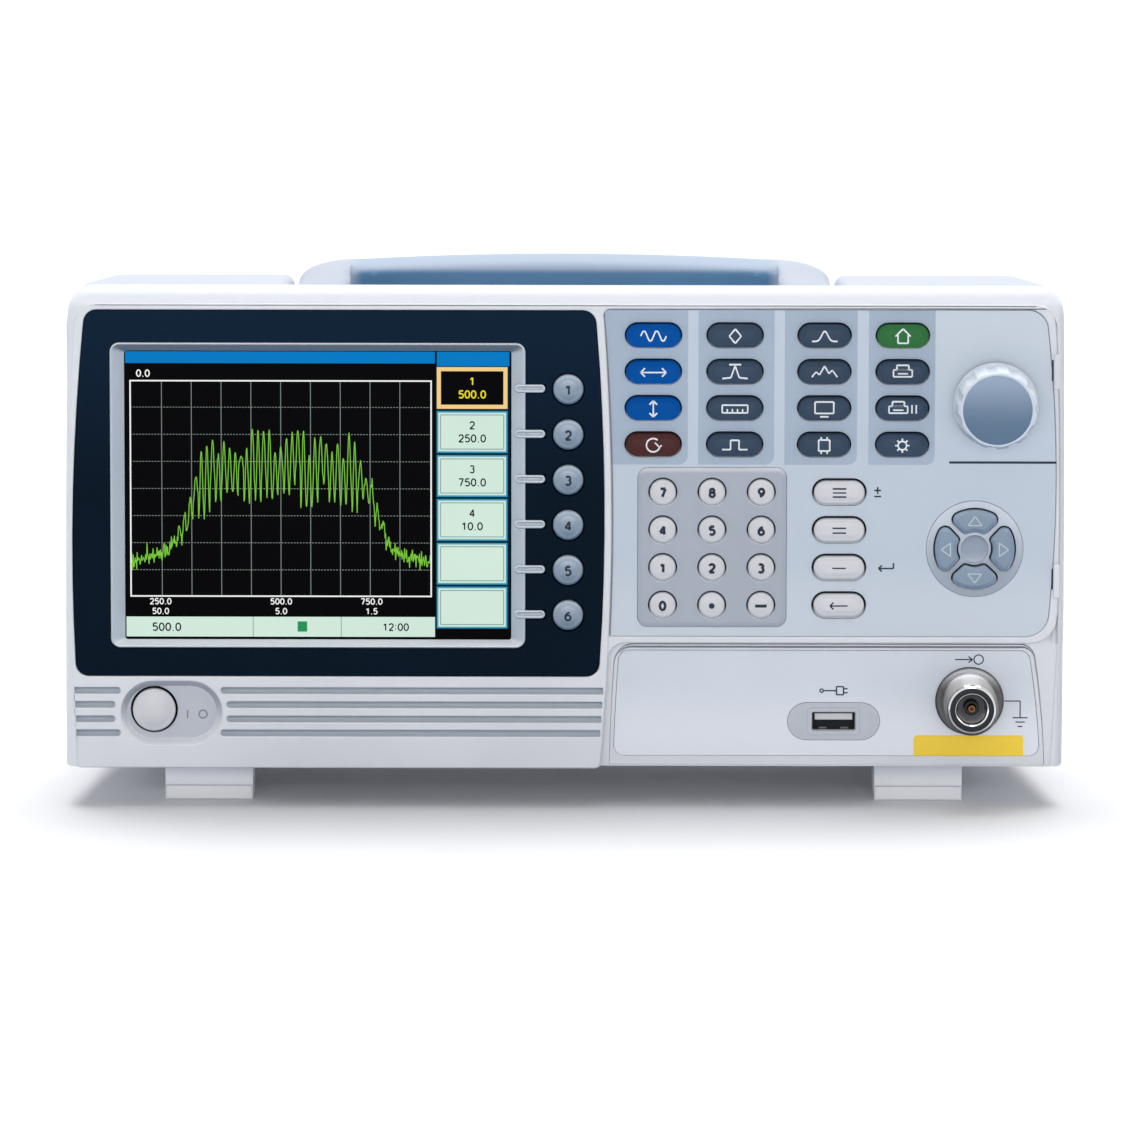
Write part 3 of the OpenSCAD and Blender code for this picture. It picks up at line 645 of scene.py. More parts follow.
def numerals():
    """The ten figures, a point and a colon as lines about (0, 0), two units high."""
    six = [ring_line(0, -0.4, 0.6), arc(0.62, -0.35, 1.22, 180, 100, 8)]
    return {
        "0": [[(0.62 * x, z) for x, z in ring_line(0, 0, 1)]],
        "1": [[(-0.45, 0.5), (0.12, 1), (0.12, -1)]],
        "2": [arc(0, 0.42, 0.58, 165, -35, 10) + [(-0.6, -1), (0.62, -1)]],
        "3": [arc(-0.03, 0.5, 0.5, 150, -70, 8) + arc(-0.03, -0.42, 0.58, 70, -150, 10)],
        "4": [[(0.3, -1), (0.3, 1), (-0.65, -0.45), (0.68, -0.45)]],
        "5": [[(0.55, 1), (-0.42, 1), (-0.5, 0.08)] + arc(-0.02, -0.38, 0.62, 125, -145, 10)],
        "6": six,
        "7": [[(-0.6, 1), (0.6, 1), (-0.15, -1)]],
        "8": [ring_line(0, 0.5, 0.48), ring_line(0, -0.43, 0.57)],
        "9": [[(-x, -z) for x, z in line] for line in six],
        ".": [[(-0.12, -1), (0.12, -1)]],
        ":": [[(-0.12, -0.5), (0.12, -0.5)], [(-0.12, 0.5), (0.12, 0.5)]],
    }


def figures(name, text, at, height, d, mat, body="case", weight=0.19):
    """Plain figures centred on a place, drawn as raised lines on the surface at d."""
    half = height / 2
    widths = [0.95 if letter in ".:" else 1.75 for letter in text]
    x = at[0] - half * sum(widths) / 2
    lines = []
    for letter, width in zip(text, widths):
        x += half * width / 2
        lines += placed((x, at[1]), numerals()[letter], half)
        x += half * width / 2
    return strokes(name, lines, weight * height, d, mat, body, 0.2)


def tiles(name, boxes, d, mat, body="case", thick=0.04):
    """Flat rectangles standing a little out of depth d."""
    verts, faces = [], []
    for x0, z0, x1, z1 in boxes:
        k = len(verts)
        verts += [(x, z, q) for q in (d, d - thick) for x, z in ((x0, z0), (x1, z0), (x1, z1), (x0, z1))]
        faces += [[k + i for i in f] for f in ((0, 1, 2, 3), (4, 5, 6, 7), (0, 1, 5, 4), (1, 2, 6, 5),
                                               (2, 3, 7, 6), (3, 0, 4, 7))]
    return solid(name, verts, faces, mat, body)


# Front bezel: a rounded lip round three face levels


def level(x, z):
    """Depth of the lip's crest next to each of the three front sections."""
    if x < bow(SECTION_X, z) or z > PLATEAU_Z + 60 and abs(x) < RIDGE_RIGHT[2] - 4:
        return 0.45 * min(1, max(0, (RIDGE_Z[1] - z) / 8))
    return KEY_LEVEL - 0.4 if z > PLATEAU_Z else IO_LEVEL - 0.3


def rim(t):
    """The case outline at t 0, the ridge round the faces at t 1."""
    z0, z1 = mix(CASE_Z[0], RIDGE_Z[0], t), mix(CASE_Z[1], RIDGE_Z[1], t)
    r, foot = mix(LIP_R, RIDGE_R, t), mix(1.2, 0.8, t)
    near = [mix(a, b, t) for a, b in zip(CASE_LEFT, RIDGE_LEFT)]
    far = [mix(a, b, t) for a, b in zip(CASE_RIGHT, RIDGE_RIGHT)]
    heights = (20, 34, PLATEAU_Z - 0.3, PLATEAU_Z + 0.3, 66, 84, 102, 120, 134)
    bottom = [(SECTION_X[0] - 0.2, z0), (SECTION_X[0] + 0.2, z0)]
    return (arc(bow(near, z0 + foot) + foot, z0 + foot, foot, 180, 270, 4) + bottom
            + arc(bow(far, z0 + foot) - foot, z0 + foot, foot, 270, 360, 4)
            + [(bow(far, z), z) for z in heights]
            + arc(bow(far, z1 - r) - r, z1 - r, r, 0, 90, 8)
            + arc(bow(near, z1 - r) + r, z1 - r, r, 90, 180, 8)
            + [(bow(near, z), z) for z in heights[::-1]])


def lip_ring(t, share, g=0.0):
    ring = inset(rim(t), g) if g else rim(t)
    return [(x, z, mix(BEZEL_D, level(*rim(1)[i]), share)) for i, (x, z) in enumerate(ring)]


def make_lip():
    crest = 1 - LIP_D / BEZEL_D
    rings = [lip_ring(0.0, 0.0, 2.4), lip_ring(0.0, 0.0), lip_ring(0.06, 0.35)]
    last = math.radians(62)
    for i in range(9):
        a = last * i / 8
        t, share = (1 - math.cos(a)) / (1 - math.cos(last)), math.sin(a) / math.sin(last)
        rings.append(lip_ring(mix(0.1, 1, t), mix(crest, 1, share)))
    rings += [lip_ring(1, 1, 0.2), lip_ring(1, 0.98, 0.38), lip_ring(1, 0.82, 0.5), lip_ring(1, 0.8, 1.8)]
    lip = loft("bezel_lip", rings, LIP, caps=OPEN, sharp=60)
    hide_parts("front_bezel")


def make_display_section():
    near, far = [x + 0.2 for x in RIDGE_LEFT], [x - 0.2 for x in RIDGE_RIGHT]
    z0, z1, r = RIDGE_Z[0] - 0.4, RIDGE_Z[1] + 0.5, 6
    step_z = FILM_Z[1] + 0.3
    tip = math.degrees(math.asin((step_z - z1 + r) / r))
    outline = (flank(near, z1 - r, z0 + 1) + arc(bow(near, z0) + 1, z0 + 1, 1, 190, 270, 3)
               + arc(bow(SECTION_X, z0) - 1.5, z0 + 1.5, 1.5, 270, 360, 5)
               + flank(SECTION_X, z0 + 2, step_z - 2.6)
               + arc(bow(SECTION_X, step_z) + 2, step_z - 2, 2, 180, 90, 5)
               + arc(bow(far, z1) - r, z1 - r, r, tip, 90, 6) + arc(bow(near, z1) + r, z1 - r, r, 90, 170, 6))
    grooves = []
    h = GROOVE_H / 2
    for i, (z, (left_end, right_end)) in enumerate(zip(GROOVE_Z, GROOVE_ENDS)):
        start, stop = bow(near, z) + 0.5, bow(SECTION_X, z) - 0.85
        grooves.append(round_box((start, z - h, left_end, z + h), (0.2, 0.85, 0.85, 0.2), 4))
        grooves.append(round_box((right_end, z - h, stop, z + h), (0.85, 0.2, 0.2, 0.85), 4))
        trough = [(z + h, 0.5), (z + 0.9 * h, 1.4), (z + 0.5 * h, GROOVE_D), (z, GROOVE_D),
                  (z - 0.5 * h, 1.6), (z - 0.9 * h, 0.9), (z - h, 0.6), (z - h, 3.2), (z + h, 3.2)]
        for side, ends in (("left", (start - 0.2, left_end)), ("right", (right_end, stop))):
            loft(f"groove_{side}_{i}", [[(x, v, d) for v, d in trough] for x in ends], GROOVE)
    recess = stadium(grow(POWER_RECESS, 0.4))
    plate("display_section", [outline, inset(navy_ring(), -0.12)] + grooves + [recess], 0, 3.4, 0.4, FACE)


def make_power_recess():
    at = middle("power_button")
    rings = [at_depth(stadium(grow(POWER_RECESS, g), 12), d) for g, d in
             ((0.9, 0.8), (0.45, 0.3), (0.1, 0.5), (-0.5, 1.5), (-1.1, 2.4), (-1.4, POWER_FLOOR))]
    loft("power_recess", rings, RECESS, caps=OPEN, sharp=60)
    hole = circle(*at, radius_of("power_button") + 0.55)
    floor = [stadium(grow(POWER_RECESS, -1.2), 12), hole]
    plate("power_floor", floor, POWER_FLOOR - 0.05, 4, 0.15, SOCKET_FIELD)
    tick_x, tick_z = at[0] + 13.4, at[1] - 1.5
    marks = [[(tick_x - 3.6, tick_z - 1.2), (tick_x - 3.6, tick_z + 1.2)],
             circle(tick_x + 1, tick_z, 1.2, 20) + [(tick_x + 2.2, tick_z)]]
    strokes("power_marks", marks, 0.45, POWER_FLOOR - 0.05, GUTTER)


def make_key_plateau():
    right = [x - 0.4 for x in RIDGE_RIGHT]
    r, q = PLATEAU_R, IO_CORNER_R
    top = FILM_Z[1] + 1.0
    corner_x = bow(SECTION_X, PLATEAU_Z - q) + q
    outline = (arc(corner_x, PLATEAU_Z - q, q, 180, 90, 8)
               + arc(bow(right, PLATEAU_Z) - r, PLATEAU_Z + r, r, 270, 360, 10)
               + flank(right, PLATEAU_Z + r + 1, top - 7)
               + arc(bow(right, top) - 5, top - 5, 5, 10, 90, 6)
               + [(bow(SECTION_X, top) - 1, top), (bow(SECTION_X, PLATEAU_Z - q) - 1, PLATEAU_Z - q)])
    plate("key_plateau", [outline, inset(film_edge(), -0.12)], KEY_LEVEL, IO_LEVEL + 1, 0.55, FACE)


def make_input_section():
    right = [x - 0.4 for x in RIDGE_RIGHT]
    span = (RIDGE_Z[0] + 0.2, PLATEAU_Z - 1.7)
    near = [bow(LABEL_LEFT, mix(*span, t), LABEL_Z) - 1.2 for t in (0, 0.5, 1)]
    edge = [bow(LABEL_RIGHT, mix(*span, t), LABEL_Z) + 1.3 for t in (0, 0.5, 1)]
    outline = bowed_box(span, near, edge, (0.6, 0.6, 3.6, 5))
    plate("input_section", [outline, inset(label_edge(), -0.12)], IO_LEVEL, IO_LEVEL + 2.4, 0.15, FACE)
    # The gutter's floor is darker than the face as painted shade in the slot under the key plateau.
    gutter = [(bow(SECTION_X, z) - 1, z) for z in (PLATEAU_Z + 3, span[0] + 0.4)]
    gutter += [(bow(right, z) - 1, z) for z in (span[0] + 0.4, PLATEAU_Z + 3)]
    plate("input_gutter", [gutter, inset(outline, 0.8)], IO_LEVEL + 0.8, IO_LEVEL + 1.6, 0.05, GUTTER)
    around = bowed_box((span[0] - 0.15, span[1] + 1.5), [x - 0.1 for x in near], [x + 0.14 for x in edge],
                       (0.6, 0.6, 5, 6.4))
    rib = [bowed_box((span[0] - g / 8, span[1] + g), [x - g / 12 for x in near], [x + g / 9 for x in edge],
                     (0.6, 0.6, 3.6 + g, 5 + g)) for g in (0.95, 0.6)]
    plate("input_rib", rib, IO_LEVEL + 0.2, IO_LEVEL + 1.4, 0.02, FACE)
    side = ([(bow(SECTION_X, z) - 1, z) for z in (PLATEAU_Z + 6, span[0] - 0.4)]
            + flank([x - 0.3 for x in RIDGE_RIGHT], span[0] - 0.4, PLATEAU_Z + 6, 8))
    plate("input_rim", [side, around], IO_LEVEL - 0.1, IO_LEVEL + 1.4, 0.15, FACE)


def make_rim_tabs():
    for name, z in TAB_Z.items():
        x = bow(FILM_RIGHT, z, FILM_Z)
        tab = round_box((x + 0.5, z - 5.2, x + 2.3, z + 5.2), 0.6, 4)
        plate(f"rim_tab_{name}", [tab], KEY_LEVEL - 0.9, KEY_LEVEL + 3, 0.4, FACE)
        slit = round_box((x - 0.05, z - 2.6, x + 0.45, z + 3.6), 0.15, 2)
        plate(f"rim_slit_{name}", [slit], KEY_LEVEL - 0.06, KEY_LEVEL + 0.4, 0.01, INK)


# A near-black sheet behind the front: painted shade that shows through the gaps round keys and parts.
def make_backing():
    sheet_outline = round_box((RIDGE_LEFT[0] + 1, 15, RIDGE_RIGHT[0] - 1, CASE_Z[1] - 6), 2)
    plate("dark_backing", [sheet_outline], SHADE_SHEET_D, SHADE_SHEET_D + 0.8, 0.1, GAP)


def number_ring():
    """The film's largest opening, round the number keys."""
    return stretched(loops("keypad_panel")[1][::-1], (0, 0, -0.4, 0.45))


def long_key(node, g=0.0):
    return stadium(grow(box_of(node), g - FLANGE))


def round_key(node, g=0.0, n=40):
    return circle(*middle(node), radius_of(node) - FLANGE + g, n)


def well(name, ring, d):
    """A near-black ring at the edge of a key's opening in a surface at depth d: painted shade in the gap,
    lighter where it faces up as a painted highlight.
    """
    rings = [at_depth(inset(ring, g), d + deep) for g, deep in ((-0.05, 0.06), (0.3, 0.55), (0.33, 1.6))]
    loft(name, rings, WELL, caps=OPEN)


def make_fields():
    """The moulded fields that show through openings of the two films."""
    keys = [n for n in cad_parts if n.startswith("number_key")]
    field = inset(number_ring(), 0.1)
    holes = [round_key(n, KEY_GAP) for n in keys]
    top = KEY_LEVEL - FIELD_RISE
    plate("number_field", [inset(field, FIELD_EDGE - 0.05)] + holes, top, KEY_LEVEL + 1.5, 0.12, FIELD)
    rings = [at_depth(inset(field, FIELD_EDGE * g), KEY_LEVEL - FIELD_RISE * rise - 0.01) for g, rise in
             ((0, -0.6), (0, 0), (0.1, 0.18), (0.75, 0.88), (0.9, 0.98), (1, 1))]
    loft("number_rim", rings, FIELD, caps=OPEN, sharp=60)
    for n, hole in zip(keys, holes):
        well(n + "_well", hole, top)

    hub = pad_centre()
    disc = inset(hole_at(loops("keypad_panel"), hub), 0.1)
    rings = [disc] + [fan(a, KEY_GAP) for a in range(0, 360, 90)] + [circle(*hub, 4.1)]
    plate("arrow_field", rings, KEY_LEVEL - 0.1, KEY_LEVEL + 1.5, 0.12, PAD)
    for a in range(0, 360, 90):
        well(f"arrow_well_{a}", fan(a, KEY_GAP), KEY_LEVEL - 0.1)
    dish = [(4.3, KEY_LEVEL + 1.5)] + [(4.3 * math.cos(t), KEY_LEVEL - 0.1 + 1.4 * math.sin(t)) for t in
                                     (math.radians(9 * i) for i in range(10))]
    turned("arrow_hub", hub, dish + [(0.3, KEY_LEVEL + 1.3)], HUB)

    box = box_of("usb_port")
    field = inset(hole_at(loops("io_panel"), middle("usb_port")), 0.08)
    slot = round_box(grow(box, -0.15), 0.5)
    plate("socket_field", [field, slot], IO_LEVEL - 0.1, IO_LEVEL + 1.6, 0.3, SOCKET_FIELD)
    collar = round_box(grow(box, 1.2), 1.2)
    plate("socket_collar", [collar, slot], IO_LEVEL - 0.35, IO_LEVEL + 0.6, 0.3, SOCKET_FIELD)


def pad_centre():
    spots = [middle(n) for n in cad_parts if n.startswith("arrow_key")]
    return sum(x for x, z in spots) / 4, sum(z for x, z in spots) / 4


def on_pad(line, turn):
    """Points given along and across an angle, turned about the arrow keys' hub."""
    c, s = math.cos(math.radians(turn)), math.sin(math.radians(turn))
    cx, cz = pad_centre()
    return [(cx + u * c - v * s, cz + u * s + v * c) for u, v in line]


def fan(turn, g=0.0):
    """An arrow key's outline, pointing along an angle, grown by g."""
    r0, r1, split, w, k, c = FAN_R[0], FAN_R[1], FAN_SPLIT, FAN_HALF_W, FAN_CORNER_R, FAN_HEEL_R
    reach = math.degrees(math.asin((w - k) / (r1 - k)))
    outer = (r1 - k) * math.cos(math.radians(reach))
    half = arc(0, 0, r1, 0, reach, 6) + arc(outer, w - k, k, reach + 12, 135, 6)
    q = split + c * math.sqrt(2)
    heel_u = (q + math.sqrt(2 * (r0 + c) ** 2 - q * q)) / 2
    heel = math.degrees(math.atan2(heel_u - q, heel_u))
    half += arc(heel_u, heel_u - q, c, 135, 180 + heel, 5) + arc(0, 0, r0, heel, 0, 4)[1:]
    ring = half + [(u, -v) for u, v in half[-2:0:-1]]
    return on_pad(inset(ring, -g) if g else ring, turn)


# Display


def navy_ring():
    return stretched(loops("display_frame")[0], (0.12, -0.3, 0.25, 0.23), 1.15)


def make_display():
    d0, d1 = extent("display_frame")[4:]
    rings = loops("display_frame")
    hole = max(rings[1:], key=lambda r: abs(area(r)))
    keys = [r for r in rings[1:] if r is not hole]
    hole = stretched(hole, (0.9, 0.25, 0, 0.45))
    navy = plate("navy_frame", [navy_ring(), hole] + keys, d0, d1, 0.25, NAVY)
    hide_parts("display_frame")

    left, low = min(p[0] for p in hole), min(p[1] for p in hole)
    high = max(p[1] for p in hole)
    outer = (left + 0.15, low + 0.15, SURROUND_RIGHT, high - 0.15)
    x0, z0, x1, z1 = lcd_box()
    opening = (x0 - 0.45, z0 - 0.85, x1 + 0.7, z1 + 0.35)
    rings = [at_depth(round_box(grow(outer, -g), 2.8 - g), d) for g, d in
             ((0, 3.2), (0, 0.6), (0.12, 0.33), (0.35, 0.2), (0.6, 0.28), (0.8, 0.5))]
    rings += [at_depth(round_box(opening, 0.9), 3.3), at_depth(round_box(grow(opening, -0.1), 0.8), 3.5)]
    surround = loft("screen_surround", rings, TRIM, caps=OPEN)
    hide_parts("lcd_surround")
    for i in range(1, 7):
        z = middle(f"soft_key_{i}")[1] + 0.2
        bar = (TICK_X[0], z - 1.2, TICK_X[1], z + 1.2)
        plate(f"tick_{i}", [stadium(bar), stadium(grow(bar, -0.75))], -0.05, 1.9, 0.3, TRIM)
        plate(f"tick_floor_{i}", [stadium(grow(bar, -0.4))], 0.6, 1.8, 0.05, TRIM)


def lcd_box():
    (x0, z0, x1, z1), (left, low, right, high) = box_of("lcd_module"), LCD_MARGIN
    return x0 + left, z0 + low, x1 - right, z1 - high


def make_screen():
    """A generic sweep: title bar, grid, trace, six menu boxes and a status bar."""
    x0, z0, x1, z1 = lcd_box()
    w, h = x1 - x0, z1 - z0
    d = face_of("lcd_module") - 0.02

    def box(left, top, right, low):
        """A part of the screen, given in shares of its width and, from the top, of its height."""
        return x0 + left * w, z1 - low * h, x0 + right * w, z1 - top * h

    tiles("screen_base", [grow((x0, z0, x1, z1), 1.2)], d, LIT_BLACK)
    plot_end, menu_start, status_top = 0.806, 0.811, 0.93
    tiles("screen_title", [box(0, 0, plot_end, 0.041), box(menu_start, 0, 1, 0.05)], d - 0.05, LIT_BLUE)
    tiles("screen_column", [box(0.8085, 0.05, 1, 0.972)], d - 0.05, LIT_DEEP)
    tiles("screen_status", [box(0, status_top, plot_end, 1)], d - 0.05, LIT_MINT)
    px0, pz0, px1, pz1 = box(0.0105, 0.1, 0.798, 0.86)
    lines = []
    for i in range(1, 10):
        x = mix(px0 + 0.65, px1 - 0.65, i / 10)
        lines.append((x - 0.1, pz0, x + 0.1, pz1))
    for i in range(1, 8):
        z = mix(pz0, pz1, i / 8)
        dashes = [mix(px0, px1, (k + 0.25) / 100) for k in range(100)]
        lines += [(x, z - 0.1, x + 0.5, z + 0.1) for x in dashes]
    tiles("screen_grid", lines, d - 0.05, LIT_GRID)
    edge = 0.42
    tiles("screen_frame", [(px0, pz1 - edge, px1, pz1), (px0, pz0, px1, pz0 + edge),
                           (px0, pz0, px0 + edge, pz1), (px1 - edge, pz0, px1, pz1)], d - 0.09, LIT_WHITE)
    draw = random.Random(4)
    pulses, steps = 40, 600
    floor_share, band_edge, steepness, noise = 0.165, 0.185, 32, 0.022
    tops = [0.48 + 0.15 * draw.random() for k in range(pulses + 1)]
    lows = [0.23 + 0.2 * draw.random() for k in range(pulses + 1)]
    trace = []
    for i in range(steps + 1):
        t = i / steps
        band = 1 / (1 + math.exp(-(0.5 - abs(t - 0.5) - band_edge) * steepness))
        turn = min(pulses, max(0, pulses * (t - 0.12) / 0.76))
        k = round(turn)
        pulse = math.cos(math.pi * (turn - k)) ** 2
        rise = floor_share + band * mix(lows[k], tops[k], pulse) + draw.gauss(0, noise) * (1 - 0.7 * band)
        trace.append((mix(px0 + edge, px1 - edge, t), mix(pz0, pz1, rise)))
    strokes("screen_trace", [trace], 0.25, d - 0.1, LIT_GREEN, flatten=0.1)
    first, step, gap = 0.0535, 0.154, 0.0085
    boxes = [box(menu_start, first + step * i, 0.995, first + step * (i + 1) - gap) for i in range(6)]
    tiles("menu_edges", boxes[1:], d - 0.09, LIT_EDGE)
    tiles("menu_boxes", [grow(b, -0.45) for b in boxes[1:]], d - 0.13, LIT_MINT)
    lines = [box_line(*grow(b, -1.1)) for b in boxes[1:]]
    strokes("menu_lines", lines, 0.26, d - 0.18, LIT_LINE, flatten=0.1)
    tiles("menu_pick_edge", boxes[:1], d - 0.09, LIT_AMBER)
    tiles("menu_pick", [grow(boxes[0], -1.2)], d - 0.13, LIT_BLACK)
    for i, (text, mat) in enumerate((("500.0", LIT_YELLOW), ("250.0", LIT_BLACK), ("750.0", LIT_BLACK),
                                     ("10.0", LIT_BLACK))):
        x, z = (boxes[i][0] + boxes[i][2]) / 2, (boxes[i][1] + boxes[i][3]) / 2
        figures(f"screen_row_{i}", str(i + 1), (x, z + 2), 2.1, d - 0.19, mat)
        figures(f"screen_value_{i}", text, (x, z - 1.9), 2.1, d - 0.19, mat)
    figures("screen_top", "0.0", (px0 + 4, pz1 + 2), 1.9, d - 0.06, LIT_WHITE)
    axis = (("250.0", "50.0", 0.1), ("500.0", "5.0", 0.5), ("750.0", "1.5", 0.8))
    for i, (text, under, t) in enumerate(axis):
        x = mix(px0, px1, t)
        figures(f"screen_axis_{i}", text, (x, pz0 - 1.35), 1.65, d - 0.06, LIT_WHITE)
        figures(f"screen_under_{i}", under, (x, pz0 - 4.25), 1.65, d - 0.06, LIT_WHITE)
    figures("screen_entry", "500.0", (mix(px0, px1, 0.12), z0 + 2.9), 2.2, d - 0.11, LIT_BLACK)
    figures("screen_clock", "12:00", (mix(px0, px1, 0.88), z0 + 2.9), 2.0, d - 0.11, LIT_BLACK)
    tiles("screen_lamp", [box(0.447, 0.946, 0.472, 0.982)], d - 0.12, LIT_LAMP)
    tiles("screen_splits", [box(a, status_top, a + 0.002, 1) for a in (0.33, 0.56)], d - 0.12, LIT_LINE)


# Films and prints


def make_films():
    d0, d1 = extent("keypad_panel")[4:]
    film = plate("keypad_film", [film_edge(), number_ring()] + loops("keypad_panel")[2:], d0, d1, 0.06, PANEL)
    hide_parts("keypad_panel")
    label_d, label_back = extent("io_panel")[4:]
    label = plate("input_film", [label_edge()] + loops("io_panel")[1:], label_d, label_back, 0.06, LABEL)
    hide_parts("io_panel")

    for c, (left, right) in enumerate(COLUMN_X, 1):
        foot, head = COLUMN_FOOT_Z, FILM_Z[1] - 0.1
        start = flank(FILM_LEFT, head, foot, 6, FILM_Z) if left is None else [(left, head), (left, foot)]
        edge = [(x + 0.05, z) for x, z in start]
        edge += arc(right - 2.5, foot + 2.5, 2.5, 270, 360, 4) + [(right, head)]
        holes = []
        for r in range(1, 5):
            holes.append(long_key(f"function_key_{c}{r}", KEY_GAP))
            well(f"function_key_{c}{r}_well", holes[-1], d0 - 0.04)
        plate(f"column_tint_{c}", [edge] + holes, d0 - 0.04, d0 + 0.1, 0.01, COLUMN)
    for i in range(1, 5):
        well(f"unit_key_{i}_well", long_key(f"unit_key_{i}", KEY_GAP), d0)
    strokes("film_seam", [flank(FILM_LEFT, FILM_Z[0], FILM_Z[1], 12, FILM_Z)], 0.4, KEY_LEVEL, GUTTER)
    plate("knob_rule", [round_box(KNOB_RULE, 0.2, 2)], d0 - 0.05, d0 + 0.1, 0.01, INK)
    plus = [[(-1, 0.5), (1, 0.5)], [(0, 1.5), (0, -0.5)], [(-1, -1.3), (1, -1.3)]]
    enter = [[(2.2, 1.3), (2.2, -0.3), (-2.2, -0.3)], [(-1.2, 0.6), (-2.2, -0.3), (-1.2, -1.2)]]
    strokes("plus_mark", placed((PLUS_X, middle("unit_key_1")[1]), plus), 0.46, d0 - 0.02, INK)
    strokes("enter_mark", placed((ENTER_X, middle("unit_key_3")[1]), enter), 0.46, d0 - 0.02, INK)

    rx, rz = middle("rf_connector")
    r = radius_of("rf_connector")
    patch = round_box(PATCH, (0.2, 0.2, 1.1, 1.1), 4)
    plate("yellow_patch", [patch], label_d - 0.05, label_d + 0.1, 0.01, YELLOW)
    gx = rx + 15
    ground = [[(rx + r + 0.3, rz), (gx, rz), (gx, rz - 5)], [(gx - 2.2, rz - 5), (gx + 2.2, rz - 5)],
              [(gx - 1.4, rz - 6.3), (gx + 1.4, rz - 6.3)], [(gx - 0.7, rz - 7.6), (gx + 0.7, rz - 7.6)]]
    strokes("ground_mark", ground, 0.35, label_d - 0.02, INK)
    entry = [[(-4.4, 0), (0.8, 0)], [(-0.4, 0.9), (0.8, 0), (-0.4, -0.9)], ring_line(2.6, 0, 1.4)]
    strokes("input_mark", placed((rx, LABEL_Z[1] - 2.6), entry), 0.36, label_d - 0.02, INK)
    plug = [ring_line(-3.6, 0, 0.5), [(-3.1, 0), (0.8, 0)], box_line(0.8, -1.2, 2.9, 1.2),
            [(2.9, 0.6), (4.1, 0.6)], [(2.9, -0.6), (4.1, -0.6)]]
    strokes("socket_mark", placed((middle("usb_port")[0], SOCKET_MARK_Z), plug), 0.4, label_d - 0.02, INK)


# Keys


def cap(node, ring, back, mat, edge, crown, reach):
    """A key cap with a rounded edge and a slightly domed face."""
    face = face_of(node)
    rings = [at_depth(ring, back), at_depth(ring, face + crown + edge)]
    for i in range(1, 7):
        a = math.radians(15 * i)
        rings.append(at_depth(inset(ring, edge * (1 - math.cos(a))), face + crown + edge * (1 - math.sin(a))))
    for i in range(1, 6):
        t = i / 5
        rings.append(at_depth(inset(ring, mix(edge, reach, t)), face + crown * (1 - t) ** 2))
    piece = loft(node + "_cap", rings, mat, node, sharp=60)
    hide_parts(node)


def wave(x0, x1, rise, turns, n=24):
    return [(mix(x0, x1, i / n), rise * math.sin(2 * math.pi * turns * i / n)) for i in range(n + 1)]


def pictograms():
    """A plain picture for each function key, drawn about (0, 0), by column and row."""
    tip = lambda x, z, dx, dz: [(x - dx - dz, z - dz - dx), (x, z), (x - dx + dz, z - dz + dx)]
    gear = [ring_line(0, 0, 1.0)]
    for a in (math.radians(45 * i) for i in range(8)):
        gear.append([(r * math.cos(a), r * math.sin(a)) for r in (1.1, 1.7)])
    pins = [[(x, s * 1.3), (x, s * 2)] for x in (-0.7, 0.7) for s in (-1, 1)]
    bell = [(x / 5, 2.4 * math.exp(-(x / 5) ** 2) - 1.2) for x in range(-15, 16)]
    printer = [box_line(-2.2, -0.9, 2.2, 0.7), box_line(-1.4, 0.7, 1.4, 1.8), [(-1.2, -0.2), (1.2, -0.2)]]
    return {
        "11": [wave(-3, 3, 1.2, 2)],
        "12": [[(-3, 0), (3, 0)], tip(3, 0, 1, 0), tip(-3, 0, -1, 0)],
        "13": [[(0, -1.9), (0, 1.9)], tip(0, 1.9, 0, 0.9), tip(0, -1.9, 0, -0.9)],
        "14": [ring_line(0, 0, 1.6, 50, 340), tip(1.5, -0.5, 0.3, -0.8)],
        "21": [[(0, -1.7), (1.4, 0), (0, 1.7), (-1.4, 0), (0, -1.7)]],
        "22": [[(-3, -1.4), (-1, -1.2), (0, 1.6), (1, -1.2), (3, -1.4)], [(-1.4, 1.9), (1.4, 1.9)]],
        "23": [box_line(-3, -0.9, 3, 0.9)] + [[(x, -0.9), (x, 0)] for x in (-1.8, -0.6, 0.6, 1.8)],
        "24": [[(-3, -1), (-1, -1), (-1, 1.2), (1, 1.2), (1, -1), (3, -1)]],
        "31": [bell],
        "32": [[(-3, -1), (-2, 0.2), (-1.2, -0.5), (0, 1.6), (1, -0.2), (1.8, 0.6), (3, -1)]],
        "33": [box_line(-2.2, -1.0, 2.2, 1.7), [(-1, -1.8), (1, -1.8)]],
        "34": [box_line(-1.3, -1.3, 1.3, 1.3)] + pins,
        "41": [[(-1.8, 0), (0, 1.8), (1.8, 0)], [(-1.2, 0.4), (-1.2, -1.6), (1.2, -1.6), (1.2, 0.4)]],
        "42": printer,
        "43": placed((-1, 0), printer) + [[(x, -1), (x, 1)] for x in (2.2, 3.2)],
        "44": gear,
    }


